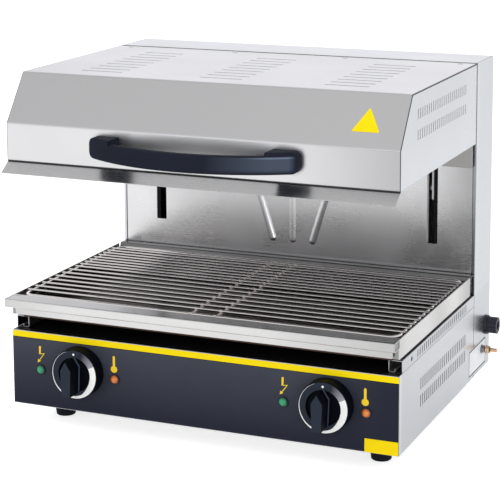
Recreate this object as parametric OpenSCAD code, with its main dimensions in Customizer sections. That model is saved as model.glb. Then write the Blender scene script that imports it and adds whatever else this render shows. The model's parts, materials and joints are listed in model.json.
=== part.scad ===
// Lift-hood salamander grill: a heated hood rides up and down a rear column
// above a wire rack and a drip tray. Millimetres, +Z up, front towards -Y.
// Casing coordinates: x = 0 on the middle, y = 0 on the control panel's face,
// z = 0 under the casing. placed() moves them to the middle of the footprint.

/* [Casing] */
// Width of the casing over its side sheets
casing_w = 600; // [560:5:700]
// Depth of the casing from the control panel's face to its back
casing_d = 460; // [450:5:500]
// Height of the casing above its underside
casing_h = 492; // [480:2:540]
// Height of the base box, which is the control panel's height
base_h = 113; // [108:1:120]
// Depth of the column behind the cooking space
column_d = 92; // [90:1:100]
// Thickness of the outer stainless sheets
sheet = 1.2; // [1:0.1:1.5]
// Height of the feet
foot_h = 33; // [25:1:50]
// Radius of a foot at its top
foot_r = 19; // [15:0.5:24]
// Distance of a foot's middle from the sides of the casing
foot_inset_x = 48; // [40:1:80]
// Distance of a foot's middle from the front and the back
foot_inset_y = 70; // [50:1:100]

/* [Side frames and rails] */
// Height of the slotted side strip that carries the tray
strip_h = 17.4; // [16:0.2:22]
// Distance of the strip's front end behind the control panel's face
strip_back = 14; // [10:1:30]
// Width of a tray rail
rail_w = 20; // [16:1:26]
// Number of slots in each side strip
strip_slots = 25; // [10:1:30]
// Number of slots in each row of a side plate
side_slots = 24; // [10:1:28]
// Pitch of the side slots
side_slot_pitch = 10; // [8:0.1:11]
// Length of a side slot in the base
base_slot_l = 17; // [10:1:20]
// Width of a side slot in the base
base_slot_w = 3.4; // [3:0.1:5]

/* [Hood] */
// Height of the hood's sides
hood_h = 123; // [115:1:130]
// Height of the upright front band
band_h = 54; // [48:1:56]
// Distance of the front band ahead of the control panel's face
band_out = 2; // [0:0.5:6]
// Depth of the sloping front
slope_d = 51; // [40:1:70]
// Reach of the front lip ahead of the band
lip_out = 19; // [10:1:24]
// Drop of the front lip below the band
lip_drop = 16; // [10:1:22]
// Travel of the hood from its top place
hood_travel = 150; // [100:5:150]
// Drop of the rear plate below the hood's sides
rear_plate_drop = 37; // [20:1:44]
// Length of a slot in the hood's top
top_slot_l = 66; // [50:1:80]
// Width of a slot in the hood's top
top_slot_w = 3.6; // [3:0.1:5]
// Number of slots in each group in the hood's top
top_slots = 9; // [5:1:10]
// Pitch of the slots in the hood's top
top_slot_pitch = 26.4; // [20:0.2:27]
// Distance between the groups of slots in the hood's top
top_group_pitch = 191; // [170:1:200]
// Length of a slot in the hood's sides
hood_slot_l = 14.3; // [8:0.1:18]
// Width of a slot in the hood's sides
hood_slot_w = 2.6; // [2:0.1:4]

/* [Heating] */
// Radius of the heating tube
tube_r = 4; // [3:0.25:4.5]
// Number of straight runs in each heating element
tube_runs = 6; // [4:2:6]
// Distance of the outer runs from the reflector's front and back
tube_margin = 35.6; // [30:0.1:45]
// Height of the heating tubes above the hood's lower edge
tube_rise = 19; // [16:0.5:22]
// Height of the reflector above the heating tubes' middle
reflector_rise = 17; // [12:1:20]
// Thickness of the insulation above the reflector
insulation_t = 22; // [10:1:30]

/* [Handle] */
// Length of the hood handle
handle_l = 320; // [240:5:360]
// Reach of the handle ahead of the hood's band
handle_reach = 60; // [45:1:64]
// Height of the handle's grip
grip_h = 26; // [20:1:28]
// Height of the handle's mounting ends
handle_end_h = 31; // [29:0.5:36]
// Thickness of the handle's grip from front to back
grip_t = 14; // [10:0.5:18]
// Length of each mounting end
handle_end_l = 42; // [30:1:50]
// Height of the handle's middle above the band's lower edge
handle_rise = 29.5; // [28:0.5:32]

/* [Tray and rack] */
// Depth of the drip pan
pan_h = 26; // [20:1:28]
// Width of the ledge at each side of the pan, which carries the rack
ledge_w = 13.8; // [12:0.2:18]
// Height of the tray's flat rims above the ledges
rim_h = 7.5; // [6:0.5:10]
// Reach of the tray's front rim ahead of the control panel's face
tray_out = 21; // [15:1:30]
// Travel of the tray
tray_travel = 200; // [100:10:240]
// Lift of the rack out of the tray
rack_lift = 20; // [10:1:20]
// Radius of the rack's frame wire
frame_wire_r = 3; // [2.5:0.25:3.5]
// Radius of the rack's inner wires
wire_r = 2; // [1.75:0.05:2.5]
// Number of widely spaced inner wires in the rack's front half
front_wires = 8; // [6:1:9]
// Pitch of the wires in the front half
wire_pitch = 21; // [18:0.5:22]
// Number of closely spaced inner wires in the back half
back_wires = 8; // [6:1:9]

/* [Controls] */
// Place of the left knob's axis along the panel
knob_left_x = -186.5; // [-190:0.5:-180]
// Place of the right knob's axis along the panel
knob_right_x = 198.5; // [190:0.5:202]
// Height of the knobs' axes
knob_z = 63; // [60:0.5:68]
// Radius of a knob's skirt
knob_r = 37; // [30:0.5:38]
// Depth of a knob's skirt
knob_skirt = 21; // [16:0.5:24]
// Height of the grip above the skirt's face
knob_grip_h = 26; // [18:0.5:30]
// Width of the grip across its shoulders
knob_grip_w = 16.6; // [12:0.2:20]
// Radius of a regulator's shaft
shaft_r = 3; // [2.5:0.25:3.5]
// Distance from the middle to the two outer lamps
lamp_outer_x = 253.5; // [250:0.5:256]
// Distance from the middle to the two inner lamps
lamp_inner_x = 131.5; // [128:0.5:136]
// Height of the lamps
lamp_z = 56.5; // [50:0.5:60]
// Radius of a lamp's bezel
lamp_r = 7.5; // [6:0.25:9]

/* [Column] */
// Distance from the middle to the middle of each lift slot
lift_slot_x = 231.5; // [225:0.5:236]
// Width of the folded lips at the column's front corners
column_lip = 4; // [2:0.5:8]
// Width of a lift slot
lift_slot_w = 17; // [14:0.5:18]
// Height of a lift slot's lower end
lift_slot_z = 207; // [200:1:210]
// Radius of the pressed ribs
rib_r = 6.5; // [5:0.25:8]
// Height of the pressed ribs above the column's front plate
rib_out = 3.4; // [2:0.1:3.6]
// Radius of a gas strut's cylinder
strut_r = 9; // [8:0.5:11]
// Radius of a gas strut's rod
rod_r = 4; // [3:0.5:5]
// Distance from the middle to each gas strut
strut_x = 203; // [190:1:206]

/* [Connections] */
// Radius of the cable gland's flange
gland_r = 15; // [13:0.5:18]
// Radius of the gland's bore
gland_bore_r = 6.5; // [5:0.25:7]
// Reach of the gland out of the casing
gland_out = 19.5; // [15:0.5:24]
// Distance of the gland's axis ahead of the casing's back
gland_back = 20; // [18:0.5:30]
// Height of the gland's axis
gland_z = 66; // [50:1:80]
// Radius of the bonding stud
stud_r = 3; // [2.5:0.5:4]
// Reach of the bonding stud out of the casing
stud_out = 26; // [24:0.5:32]
// Distance of the bonding stud ahead of the casing's back
stud_back = 45; // [42:1:60]
// Height of the bonding stud
stud_z = 33; // [25:1:40]

/* [Hidden] */
$fn = 48;
steel = [0.80, 0.80, 0.81];
slate = [0.20, 0.22, 0.28];
black = [0.10, 0.10, 0.12];
brass = [0.80, 0.62, 0.33];

fit = 0.3;                     // gap between parts that slide past each other
seam = 0.6;                    // visible gap between two outer sheets
hood_seam = 0.9;               // groove between the hood's cover and its sides
weld = 0.2;                    // how far a flange runs into the sheet that it is part of
screw_head = 2;                // height of a pan head behind the rear cover
hw = casing_w / 2;
in_x = hw - sheet;             // inner face of a side sheet
column_y = casing_d - column_d;  // front face of the column's side sheets
plate_y = column_y + seam;     // front face of the column's front plate
plate_back = plate_y + sheet;
rear_y = casing_d - sheet;     // inner face of the rear cover
strip_z = base_h + seam;       // lower edge of the slotted strip
rail_z = strip_z + strip_h;    // top of the tray rails
flange = 12;                   // width of a folded stiffening flange
panel_bend_r = sheet + 0.4;    // outer radius of the control panel's bends
lip_gap = 1.2;                 // groove between a column lip and the front plate
plate_hx = hw - column_lip - lip_gap;

hood_back = column_y - 3;      // rear edge of the hood's top and sides
hood_z = casing_h - hood_h;    // lower edge of the hood's sides
slope_z = hood_z + band_h;     // top of the front band
bend_r = 5;                    // outer radius of the hood's bends
rear_plate_y = hood_back - 3.0 - sheet;
rear_plate_back = rear_plate_y + sheet;
lip_t = 1;
lip_seam = 2;                  // how far the lip's bend hangs below the band
tube_z = hood_z + tube_rise;
reflector_z = tube_z + reflector_rise;
handle_z = hood_z + handle_rise;
band_y = -band_out;

tray_z = rail_z + fit;         // underside of the drip pan
ledge_z = tray_z + pan_h;      // top of the ledges
rim_z = ledge_z + rim_h;       // top of the flat rims
pan_hx = in_x - ledge_w;       // half the pan's width inside
pan_front = 10;
pan_back = column_y - 18;
rim_back = column_y - 2;
rack_z = ledge_z + 0.2 + frame_wire_r;
rack_hx = hw - 9.5;            // middle of the rack's side wires
rack_front = pan_front + sheet + 8.8;
rack_back = pan_back - 16;
rack_wire_z = rack_z + 2.8;    // the inner wires lie on the frame wire
rack_wire_x = rack_hx + frame_wire_r + 2;  // their ends, just past the frame wire

channel_z = 118;
carriage_t = 3;
carriage_x = lift_slot_x - carriage_t / 2;   // inboard face of a carriage
arm_z = lift_slot_z + hood_travel + 8;       // lower edge of a carriage arm
carriage_top = casing_h - 14;
leg_z = channel_z + hood_travel + 8;         // lower end of a carriage leg
shoe_y0 = plate_back + 2 + fit;
shoe_d = 28;
shoe_h = 40;
shoe_t = 12;
shoe_zs = [leg_z + 16, carriage_top - 28];   // middles of the two guide shoes
channel_x = carriage_x + carriage_t + shoe_t + fit;
channel_t = 2;
strut_y = plate_back + 45;
strut_z = 128;
tab_z = carriage_top - 8;      // underside of the carriage's top tab
strut_l = tab_z - hood_travel - strut_z - 20;  // length of the strut's cylinder
piston_h = 8;
cylinder_wall = 1;

knob_gap = 1;
knob_face = -knob_gap - knob_skirt;
lens_r = lamp_r - 1.2;
regulator_w = 45;
regulator_d = 34;

gland_y = casing_d - gland_back;
stud_y = casing_d - stud_back;

// Small sizes of the parts above
foot_screw_r = 4;
foot_screw_l = 14;             // depth of the screw in a foot
foot_taper = 4.5;              // how much narrower a foot is at its base
foot_rim = 3;
foot_xs = [foot_inset_x - hw, hw - foot_inset_x];
foot_ys = [foot_inset_y, casing_d - foot_inset_y];

screw_hole_r = 2.1;
screw_head_r = 4;
rear_screw_x = in_x - flange / 2;
rear_screw_zs = [for (i = [0:3]) 50 + i * (casing_h - 102) / 3];
pan_screw_z = flange - 5;
pan_screw_xs = [-0.6 * hw, 0, 0.6 * hw];
rear_vents = 16;
rear_vent_pitch = 16;
rear_vent_w = 4;
rear_vent_l = 40;
rear_vent_rows = [60, casing_h - 102];

base_slot_y = column_y - 271;
base_slot_pitch = 0.965 * side_slot_pitch;
base_slot_rows = [40, 65];
strip_slot_y = column_y - 286;
strip_slot_l = 11;
strip_slot_w = 3.4;
strip_hole_r = 3.4;
hood_slot_y = hood_back - 292;
hood_slot_pitch = 1.01 * side_slot_pitch;
hood_slot_rows = [hood_z + 56, hood_z + 85];
top_slot_y = hood_back - 277;
rail_return = 5;

rib_z = 193;
rib_l = 130;
rib_pitch = 34;
rib_lean = 17;
slot_lip = 8;
lift_slot_top = carriage_top + 4;
channel_top = casing_h - 8;
strut_end = 6;
bracket_w = 2 * strut_r + 10;
bracket_t = 3;
piston_z = strut_z + strut_l - strut_end - 1 - piston_h;

bushing_r = 5;
bushing_out = 0.4;
shaft_in = 18;                 // reach of the shaft behind the panel's face
regulator_plate_t = 2;
blade_pitch = 10;
blade_w = 6.3;
blade_t = 0.8;
blade_l = 9;
knob_web = 7;
knob_wall = 3;
knob_hub_r = 8;
knob_edge_r = 1;
knob_dish_r = 25.5;
knob_dish = 3;
knob_dish_wall = 1.5;          // how far the dish's wall leans inwards
knob_tip = 26;                 // reach of the grip's pointed end from the axis
knob_shoulder = 13;
knob_tail = 26;
knob_tail_w = knob_grip_w - 3.1;
knob_root = 0.5;               // how far the grip is sunk into the dish's floor
lamp_xs = [-lamp_outer_x, -lamp_inner_x, lamp_inner_x, lamp_outer_x];
lamp_neck_r = lamp_r - 1.4;
bezel_t = 2;
lens_seat = 1.4;               // depth of the lens in the bezel
lens_stem_r = lamp_neck_r - 1.3;
dome_h = 3;
lens_in = 6;                   // depth of a lens behind the panel's face
holder_l = 24;

gland_neck_r = gland_bore_r + 3.5;
gland_nut_r = gland_r - 2;
gland_flange_t = 4;
gland_end_t = 3.4;
gland_in = 14;
gland_flutes = 12;
locknut_t = 5;
stud_in = 9;
stud_nut_t = 5;
stud_washer_t = 1.2;
stud_groove = 1;               // thread undercut outside the outer nut
stud_nuts_end = hw + 14;
terminal_x = hw - 160;
terminal_y = casing_d - 55;
terminal_ways = 5;
terminal_pitch = 10;
terminal_l = (terminal_ways + 1) * terminal_pitch;
terminal_d = 22;

hood_screw_xs = [for (i = [-3, -1, 1, 3]) i * (hw - 23) / 3];
hood_screw_y = rear_plate_y - flange / 2;
rear_plate_hx = hw - 3.5;
reflector_front = 3;
reflector_back = rear_plate_y - 8;
tube_x0 = 16;
tube_x1 = in_x - 24;
tube_lead_x = 6;
tube_y = reflector_front + tube_margin;
tube_pitch = (reflector_back - reflector_front - 2 * tube_margin) / (tube_runs - 1);
hanger_xs = [80, 190];
hanger_w = 10;
hanger_t = 2;
grip_edge_r = 4;
handle_end_t = 10;
handle_corner_r = 11;
handle_screw_r = 2.5;
handle_screw_l = 8;
handle_screw_xs = [handle_end_l / 2 - handle_l / 2, handle_l / 2 - handle_end_l / 2];

carriage_foot = 12;            // chamfer across a carriage's lower rear corner
carriage_plate_w = 22;
shoe_bolt_r = 6;
shoe_bolt_h = 5;

side_z = rail_z + 5.6;         // lower edge of the tray's sides
gusset_back = 1;               // front edge of the tray's sides
side_tab = 14;                 // width of the tabs folded from that edge
lip_inset = 8;
lip_y = -4;                    // the lower front, set back under the upright one
lip_z = side_z + 1.6;
fold_r = 3;
rim_drop = rim_z - 13;         // lower edge of the tray's upright front
rack_corner_r = 14;
rack_margin = 21.5;            // from the frame wire to the first inner wire
rack_turn = rack_front + rack_margin + (front_wires - 1) * wire_pitch;
back_pitch = (rack_back - rack_margin - rack_turn) / back_wires;
inner_wire_ys = [
  for (i = [1 - front_wires:0]) rack_turn + i * wire_pitch,
  for (i = [1:back_wires]) rack_turn + i * back_pitch
];
cross_wire_x = 19.5;

// The footprint's middle: the handle is foremost, the rear screws are
// hindmost, and the bonding stud reaches out of the right side.
front_y = band_y - handle_reach;
back_y = casing_d + screw_head;
origin = [stud_out / 2, (front_y + back_y) / 2, -foot_h];

// ---------- helpers ----------

module placed() translate(-origin) children();

// A box between two corners
module block(lo, hi) translate(lo) cube(hi - lo);

// Right-hand parts are drawn at +X, and mirrored for the left
module on_side(side) {
  if (side < 0) mirror([1, 0, 0]) children();
  else children();
}

// Stands a [y, z] outline up and gives it the width w from x
module along_x(x, w) translate([x, 0, 0]) rotate([90, 0, 90]) linear_extrude(w) children();

// Lays an [x, z] outline along Y, from y to y + d
module along_y(y, d) translate([0, y + d, 0]) rotate([90, 0, 0]) linear_extrude(d) children();

module rod_x(x, y, z, r, l) translate([x, y, z]) rotate([0, 90, 0]) cylinder(r = r, h = l);
module rod_y(x, y, z, r, l) translate([x, y, z]) rotate([-90, 0, 0]) cylinder(r = r, h = l);
module rod_z(x, y, z, r, l) translate([x, y, z]) cylinder(r = r, h = l);

// Rounded rectangle from exact circles and squares
module round_rect(size, r) {
  translate([r, 0]) square([size.x - 2 * r, size.y]);
  translate([0, r]) square([size.x, size.y - 2 * r]);
  for (x = [r, size.x - r], y = [r, size.y - r]) translate([x, y]) circle(r);
}

// A bent sheet's outline: the path is its outer face, t its thickness to the
// left of the path, and r the radius of its bends on the outer face
function unit(v) = v / norm(v);
function left_of(v) = [-v.y, v.x];
function turn_of(a, b) = atan2(a.x * b.y - a.y * b.x, a * b);
function leg(pts, i) = unit(pts[i + 1] - pts[i]);
function offset_path(pts, t) = let (last = len(pts) - 1) [
  for (i = [0:last])
    let (
      a = leg(pts, max(i - 1, 0)),
      b = leg(pts, min(i, last - 1)),
      m = unit(left_of(a) + left_of(b))
    ) pts[i] + m * t / (m * left_of(a))
];
function arc_at(p, a, b, r) =
  let (
    turn = turn_of(a, b),
    side = sign(turn),
    start = p - a * r * tan(abs(turn) / 2),
    middle = start + side * r * left_of(a),
    spoke = start - middle,
    steps = 5
  ) [for (k = [0:steps]) let (c = cos(turn * k / steps), s = sin(turn * k / steps))
      middle + [c * spoke.x - s * spoke.y, s * spoke.x + c * spoke.y]];
function filleted(pts, r, t) = let (last = len(pts) - 1) [
  pts[0],
  for (i = [1:1:last - 1])
    let (a = leg(pts, i - 1), b = leg(pts, i))
      each arc_at(pts[i], a, b, r - sign(turn_of(a, b)) * t),
  pts[last]
];
function reversed(v) = [for (i = [len(v) - 1:-1:0]) v[i]];
module bent_outline(pts, t, r)
  polygon(concat(filleted(pts, r, 0), reversed(filleted(offset_path(pts, t), r, t))));

// Rows of upright slots cut through a side sheet
module side_slot_row(y0, pitch, n, w, z0, l)
  for (i = [0:n - 1]) block([in_x - 1, y0 + i * pitch, z0], [hw + 1, y0 + i * pitch + w, z0 + l]);

// ---------- base ----------

module base_pan() color(steel) placed()
  difference() {
    union() {
      block([-in_x, flange + fit, 0], [in_x, rear_y, sheet]);
      for (side = [-1, 1]) on_side(side)
        block([in_x - sheet, flange + 4, sheet], [in_x, column_y - seam, flange]);
      block([flange - in_x, rear_y - sheet, sheet], [in_x - flange, rear_y, flange]);
    }
    for (x = foot_xs, y = foot_ys) rod_z(x, y, -1, foot_screw_r + 0.2, sheet + 2);
    for (x = pan_screw_xs) rod_y(x, rear_y - 2 * sheet, pan_screw_z, screw_hole_r, 4 * sheet);
  }

module control_panel() color(slate) placed()
  difference() {
    along_x(-hw, casing_w)
      bent_outline([[flange, 0], [0, 0], [0, base_h], [flange, base_h]], -sheet, panel_bend_r);
    for (side = [-1, 1]) on_side(side)
      block([in_x - 0.1, panel_bend_r, -1], [hw + 1, flange + 1, base_h + 1]);
    for (x = [knob_left_x, knob_right_x]) rod_y(x, -1, knob_z, bushing_r + 0.2, 10);
    for (x = lamp_xs) rod_y(x, -1, lamp_z, lamp_neck_r + 0.1, 10);
  }

module lower_side(side) color(steel) placed() on_side(side)
  difference() {
    union() {
      block([in_x, sheet + seam, 0], [hw, column_y - seam, base_h]);
      block([in_x - flange, flange + 4, base_h - sheet], [in_x, column_y - seam, base_h]);
    }
    for (z = base_slot_rows)
      side_slot_row(base_slot_y, base_slot_pitch, side_slots, base_slot_w, z, base_slot_l);
  }
module lower_side_left() lower_side(-1);
module lower_side_right() lower_side(1);

// Column side and slotted strip, cut from one sheet, with folded flanges
module side_frame(side) color(steel) placed() on_side(side)
  difference() {
    union() {
      along_x(in_x, sheet) polygon([
        [column_y, 0], [casing_d, 0], [casing_d, casing_h], [column_y, casing_h],
        [column_y, rail_z], [strip_back, rail_z], [strip_back, strip_z], [column_y, strip_z]
      ]);
      block([in_x - flange, rear_y - sheet, 2 * flange], [in_x, rear_y, casing_h - 2 * flange]);
      block([in_x - flange, plate_back, rail_z], [in_x, plate_back + sheet, casing_h - 2 * flange]);
      block([hw - column_lip, column_y, rail_z], [in_x, column_y + sheet, casing_h - sheet]);
    }
    side_slot_row(strip_slot_y, side_slot_pitch, strip_slots, strip_slot_w,
                  rail_z - 3.2 - strip_slot_l, strip_slot_l);
    rod_x(in_x - 1, strip_back + 42, (strip_z + rail_z) / 2, strip_hole_r, sheet + 2);
    for (z = rear_screw_zs) rod_y(rear_screw_x, rear_y - 2 * sheet, z, screw_hole_r, 4 * sheet);
    if (side > 0) {
      rod_x(in_x - 1, gland_y, gland_z, gland_neck_r + 0.2, sheet + 2);
      rod_x(in_x - 1, stud_y, stud_z, stud_r + 0.2, sheet + 2);
    }
  }
module side_frame_left() side_frame(-1);
module side_frame_right() side_frame(1);

// Folded C rail, open at its front end, with a small return at the bottom
module tray_rail(side) color(steel) placed() on_side(side)
  along_y(strip_back, plate_y - strip_back)
    bent_outline([
      [in_x, rail_z], [hw - rail_w, rail_z], [hw - rail_w, strip_z],
      [hw - rail_w / 2, strip_z], [hw - rail_w / 2, strip_z + rail_return]
    ], sheet, sheet + 1.2);
module tray_rail_left() tray_rail(-1);
module tray_rail_right() tray_rail(1);

module base_deck() color(black) placed()
  block([-in_x, panel_bend_r + 0.2, base_h - 2 * sheet], [in_x, plate_y, base_h - sheet]);

module foot(x, y) color(black) placed() translate([x, y, 0])
  difference() {
    rotate_extrude() polygon([
      [0, -foot_h], [foot_r - foot_taper - 1, -foot_h], [foot_r - foot_taper, 1 - foot_h],
      [foot_r - 1, -foot_rim], [foot_r, -foot_rim], [foot_r, 0], [0, 0]
    ]);
    rod_z(0, 0, -foot_screw_l, foot_screw_r + 0.05, foot_screw_l + 1);
  }
module foot_front_left() foot(foot_xs[0], foot_ys[0]);
module foot_front_right() foot(foot_xs[1], foot_ys[0]);
module foot_rear_left() foot(foot_xs[0], foot_ys[1]);
module foot_rear_right() foot(foot_xs[1], foot_ys[1]);

module foot_screws() color(steel) placed()
  for (x = foot_xs, y = foot_ys) {
    rod_z(x, y, -foot_screw_l, foot_screw_r, foot_screw_l + sheet + 7);
    translate([x, y, sheet]) cylinder(r = 2 * foot_screw_r, h = 5, $fn = 6);
  }

// ---------- column ----------

// A pressed bead that leans outwards from its round lower end
module rib(x, lean, r) translate([x, plate_y + rib_r - rib_out, rib_z]) rotate([0, lean, 0]) {
  cylinder(r = r, h = rib_l);
  sphere(r);
  translate([0, 0, rib_l]) sphere(r);
}
module ribs(r)
  for (i = [-1, 0, 1]) rib(i * rib_pitch, i * rib_lean, r);

module column_front() color(steel) placed()
  difference() {
    union() {
      block([-plate_hx, plate_y, base_h - 2 * sheet], [plate_hx, plate_back, casing_h - sheet]);
      intersection() {
        ribs(rib_r);
        block([-hw, 0, 0], [hw, plate_back, casing_h]);
      }
      for (side = [-1, 1]) on_side(side)
        block([lift_slot_x - lift_slot_w / 2 - sheet, plate_back, lift_slot_z],
              [lift_slot_x - lift_slot_w / 2, plate_back + slot_lip, lift_slot_top]);
    }
    ribs(rib_r - sheet);
    for (side = [-1, 1]) on_side(side)
      block([lift_slot_x - lift_slot_w / 2, plate_y - 1, lift_slot_z],
            [lift_slot_x + lift_slot_w / 2, plate_back + 1, lift_slot_top]);
  }

module column_top() color(steel) placed() {
  block([-in_x, column_y, casing_h - sheet], [in_x, rear_y, casing_h]);
  block([flange - in_x, rear_y - sheet, casing_h - flange], [in_x - flange, rear_y, casing_h - sheet]);
}

module column_rear() color(steel) placed()
  difference() {
    block([-in_x, rear_y, 0], [in_x, casing_d, casing_h]);
    for (i = [0:rear_vents - 1], z = rear_vent_rows)
      block([(i - (rear_vents - 1) / 2) * rear_vent_pitch - rear_vent_w / 2, rear_y - 1, z],
            [(i - (rear_vents - 1) / 2) * rear_vent_pitch + rear_vent_w / 2, casing_d + 1, z + rear_vent_l]);
    for (side = [-1, 1], z = rear_screw_zs)
      rod_y(side * rear_screw_x, rear_y - 1, z, screw_hole_r, sheet + 2);
    for (x = pan_screw_xs) rod_y(x, rear_y - 1, pan_screw_z, screw_hole_r, sheet + 2);
  }

module rear_screw(x, z) {
  rod_y(x, rear_y - 2 * sheet, z, screw_hole_r - 0.1, 3 * sheet);
  rod_y(x, casing_d, z, screw_head_r, screw_head);
}
module casing_screws() color(steel) placed() {
  for (side = [-1, 1], z = rear_screw_zs) rear_screw(side * rear_screw_x, z);
  for (x = pan_screw_xs) rear_screw(x, pan_screw_z);
}

module guide_channel(side) color(steel) placed() on_side(side) {
  flange_x = carriage_x + carriage_t + 1;
  back = shoe_y0 + shoe_d + fit;
  block([channel_x, plate_back, channel_z], [channel_x + channel_t, back + channel_t, channel_top]);
  for (y = [plate_back, back])
    block([flange_x, y, channel_z], [channel_x, y + channel_t, channel_top]);
}
module guide_channel_left() guide_channel(-1);
module guide_channel_right() guide_channel(1);

module gas_strut(side) color(black) placed() on_side(side)
  difference() {
    rod_z(strut_x, strut_y, strut_z, strut_r, strut_l);
    rod_z(strut_x, strut_y, strut_z + strut_end, strut_r - cylinder_wall, strut_l - 2 * strut_end);
    rod_z(strut_x, strut_y, strut_z + strut_end, rod_r + 0.05, strut_l);
  }
module gas_strut_left() gas_strut(-1);
module gas_strut_right() gas_strut(1);

module strut_brackets() color(steel) placed()
  for (side = [-1, 1]) on_side(side) {
    block([strut_x - bracket_w / 2, plate_back, strut_z - bracket_t],
          [strut_x + bracket_w / 2, strut_y + bracket_w / 2, strut_z]);
    block([strut_x - bracket_w / 2, plate_back, strut_z - bracket_w],
          [strut_x + bracket_w / 2, plate_back + bracket_t, strut_z - bracket_t]);
  }

// Rod with its piston, which slides in the strut's cylinder
module strut_rod(side) color(steel) placed() on_side(side) {
  rod_z(strut_x, strut_y, piston_z, rod_r, tab_z - piston_z);
  rod_z(strut_x, strut_y, piston_z, strut_r - cylinder_wall - 0.05, piston_h);
}
module strut_rod_left() strut_rod(-1);
module strut_rod_right() strut_rod(1);

// ---------- controls ----------

module heat_regulator(x) color(slate) placed() {
  body_y = sheet + regulator_plate_t;
  difference() {
    union() {
      block([x - regulator_w / 2 - 4, sheet, knob_z - 8], [x + regulator_w / 2 + 4, body_y, knob_z + 8]);
      block([x - regulator_w / 2, body_y, knob_z - regulator_w / 2],
            [x + regulator_w / 2, body_y + regulator_d, knob_z + regulator_w / 2]);
      rod_y(x, -bushing_out, knob_z, bushing_r, bushing_out + body_y);
    }
    rod_y(x, -bushing_out - 1, knob_z, shaft_r + 0.05, bushing_out + 1 + shaft_in + fit);
  }
  for (i = [-1.5:1:1.5])
    block([x + i * blade_pitch - blade_w / 2, body_y + regulator_d, knob_z - blade_t / 2],
          [x + i * blade_pitch + blade_w / 2, body_y + regulator_d + blade_l, knob_z + blade_t / 2]);
}
module heat_regulator_left() heat_regulator(knob_left_x);
module heat_regulator_right() heat_regulator(knob_right_x);

module regulator_shaft(x) color(steel) placed()
  rod_y(x, knob_face + knob_web, knob_z, shaft_r, shaft_in - knob_face - knob_web);
module regulator_shaft_left() regulator_shaft(knob_left_x);
module regulator_shaft_right() regulator_shaft(knob_right_x);

// Pointed grip bar
module knob_grip(h)
  linear_extrude(h) polygon([
    [-knob_tail_w / 2, -knob_tail], [knob_tail_w / 2, -knob_tail],
    [knob_grip_w / 2, knob_shoulder], [0, knob_tip], [-knob_grip_w / 2, knob_shoulder]
  ]);

// Drawn face up: its Z axis points out of the panel and its Y axis up
module knob(x) color(black) placed() translate([x, -knob_gap, knob_z]) rotate([90, 0, 0]) {
  h = knob_skirt;
  difference() {
    rotate_extrude($fn = 96) polygon(concat(
      [[0, h - knob_dish], [knob_dish_r - knob_dish_wall, h - knob_dish], [knob_dish_r, h]],
      [for (a = [90:-15:0]) [knob_r - knob_edge_r + knob_edge_r * cos(a), h - knob_edge_r + knob_edge_r * sin(a)]],
      [[knob_r, 0], [knob_r - knob_wall, 0], [knob_r - knob_wall, h - knob_web],
       [knob_hub_r, h - knob_web], [knob_hub_r, 1], [0, 1]]
    ));
    translate([0, 0, -1]) cylinder(r = shaft_r + 0.02, h = h - knob_web + 1);
  }
  translate([0, 0, h - knob_dish - knob_root]) knob_grip(knob_root + knob_dish + knob_grip_h);
}
module knob_left() knob(knob_left_x);
module knob_right() knob(knob_right_x);

// Lens with a domed front and a stem in its holder
module lamp(x) {
  dome_r = (lens_r * lens_r + dome_h * dome_h) / (2 * dome_h);
  rod_y(x, -bezel_t, lamp_z, lens_r, lens_seat);
  rod_y(x, lens_seat - bezel_t, lamp_z, lens_stem_r, bezel_t - lens_seat + lens_in);
  intersection() {
    translate([x, dome_r - bezel_t - dome_h, lamp_z]) sphere(dome_r);
    rod_y(x, -bezel_t - dome_h, lamp_z, lens_r, dome_h);
  }
}
module power_lamps() color([0.10, 0.62, 0.38]) placed() for (x = [lamp_xs[0], lamp_xs[2]]) lamp(x);
module heating_lamps() color([0.85, 0.45, 0.15]) placed() for (x = [lamp_xs[1], lamp_xs[3]]) lamp(x);

module lamp_holders() color(black) placed()
  for (x = lamp_xs) {
    difference() {
      union() {
        rod_y(x, -bezel_t, lamp_z, lamp_r, bezel_t);
        rod_y(x, 0, lamp_z, lamp_neck_r, sheet);
        rod_y(x, sheet, lamp_z, lamp_r, holder_l);
      }
      rod_y(x, -bezel_t - 1, lamp_z, lens_r + 0.05, 1 + lens_seat);
      rod_y(x, -bezel_t, lamp_z, lens_stem_r + 0.05, bezel_t + lens_in + 0.1);
    }
    for (i = [-1, 1])
      block([x + i * 3 - 0.4, sheet + holder_l, lamp_z - 2], [x + i * 3 + 0.4, sheet + holder_l + 7, lamp_z + 2]);
  }

// ---------- connections ----------

module cable_gland_body() color(black) placed()
  difference() {
    union() {
      rod_x(hw, gland_y, gland_z, gland_r, gland_flange_t);
      rod_x(in_x - gland_in, gland_y, gland_z, gland_neck_r, gland_in + sheet + gland_out - gland_end_t);
    }
    rod_x(in_x - gland_in - 1, gland_y, gland_z, gland_bore_r, gland_in + gland_out + 5);
  }

module cable_gland_nut() color(black) placed() {
  x0 = hw + gland_flange_t;
  l = gland_out - gland_flange_t;
  difference() {
    rod_x(x0, gland_y, gland_z, gland_nut_r, l);
    rod_x(x0 - 1, gland_y, gland_z, gland_neck_r + 0.05, l + 1 - gland_end_t);
    rod_x(x0 - 1, gland_y, gland_z, gland_bore_r, l + 2);
    for (i = [0:gland_flutes - 1])
      translate([0, gland_y, gland_z]) rotate([i * 360 / gland_flutes, 0, 0])
        rod_x(x0 + 2, 0, gland_nut_r + 0.6, 1.6, l);
  }
}

module cable_gland_locknut() color(black) placed()
  translate([in_x - locknut_t, gland_y, gland_z]) rotate([0, 90, 0]) difference() {
    cylinder(r = gland_r, h = locknut_t, $fn = 6);
    translate([0, 0, -1]) cylinder(r = gland_neck_r + 0.05, h = locknut_t + 2);
  }

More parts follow.
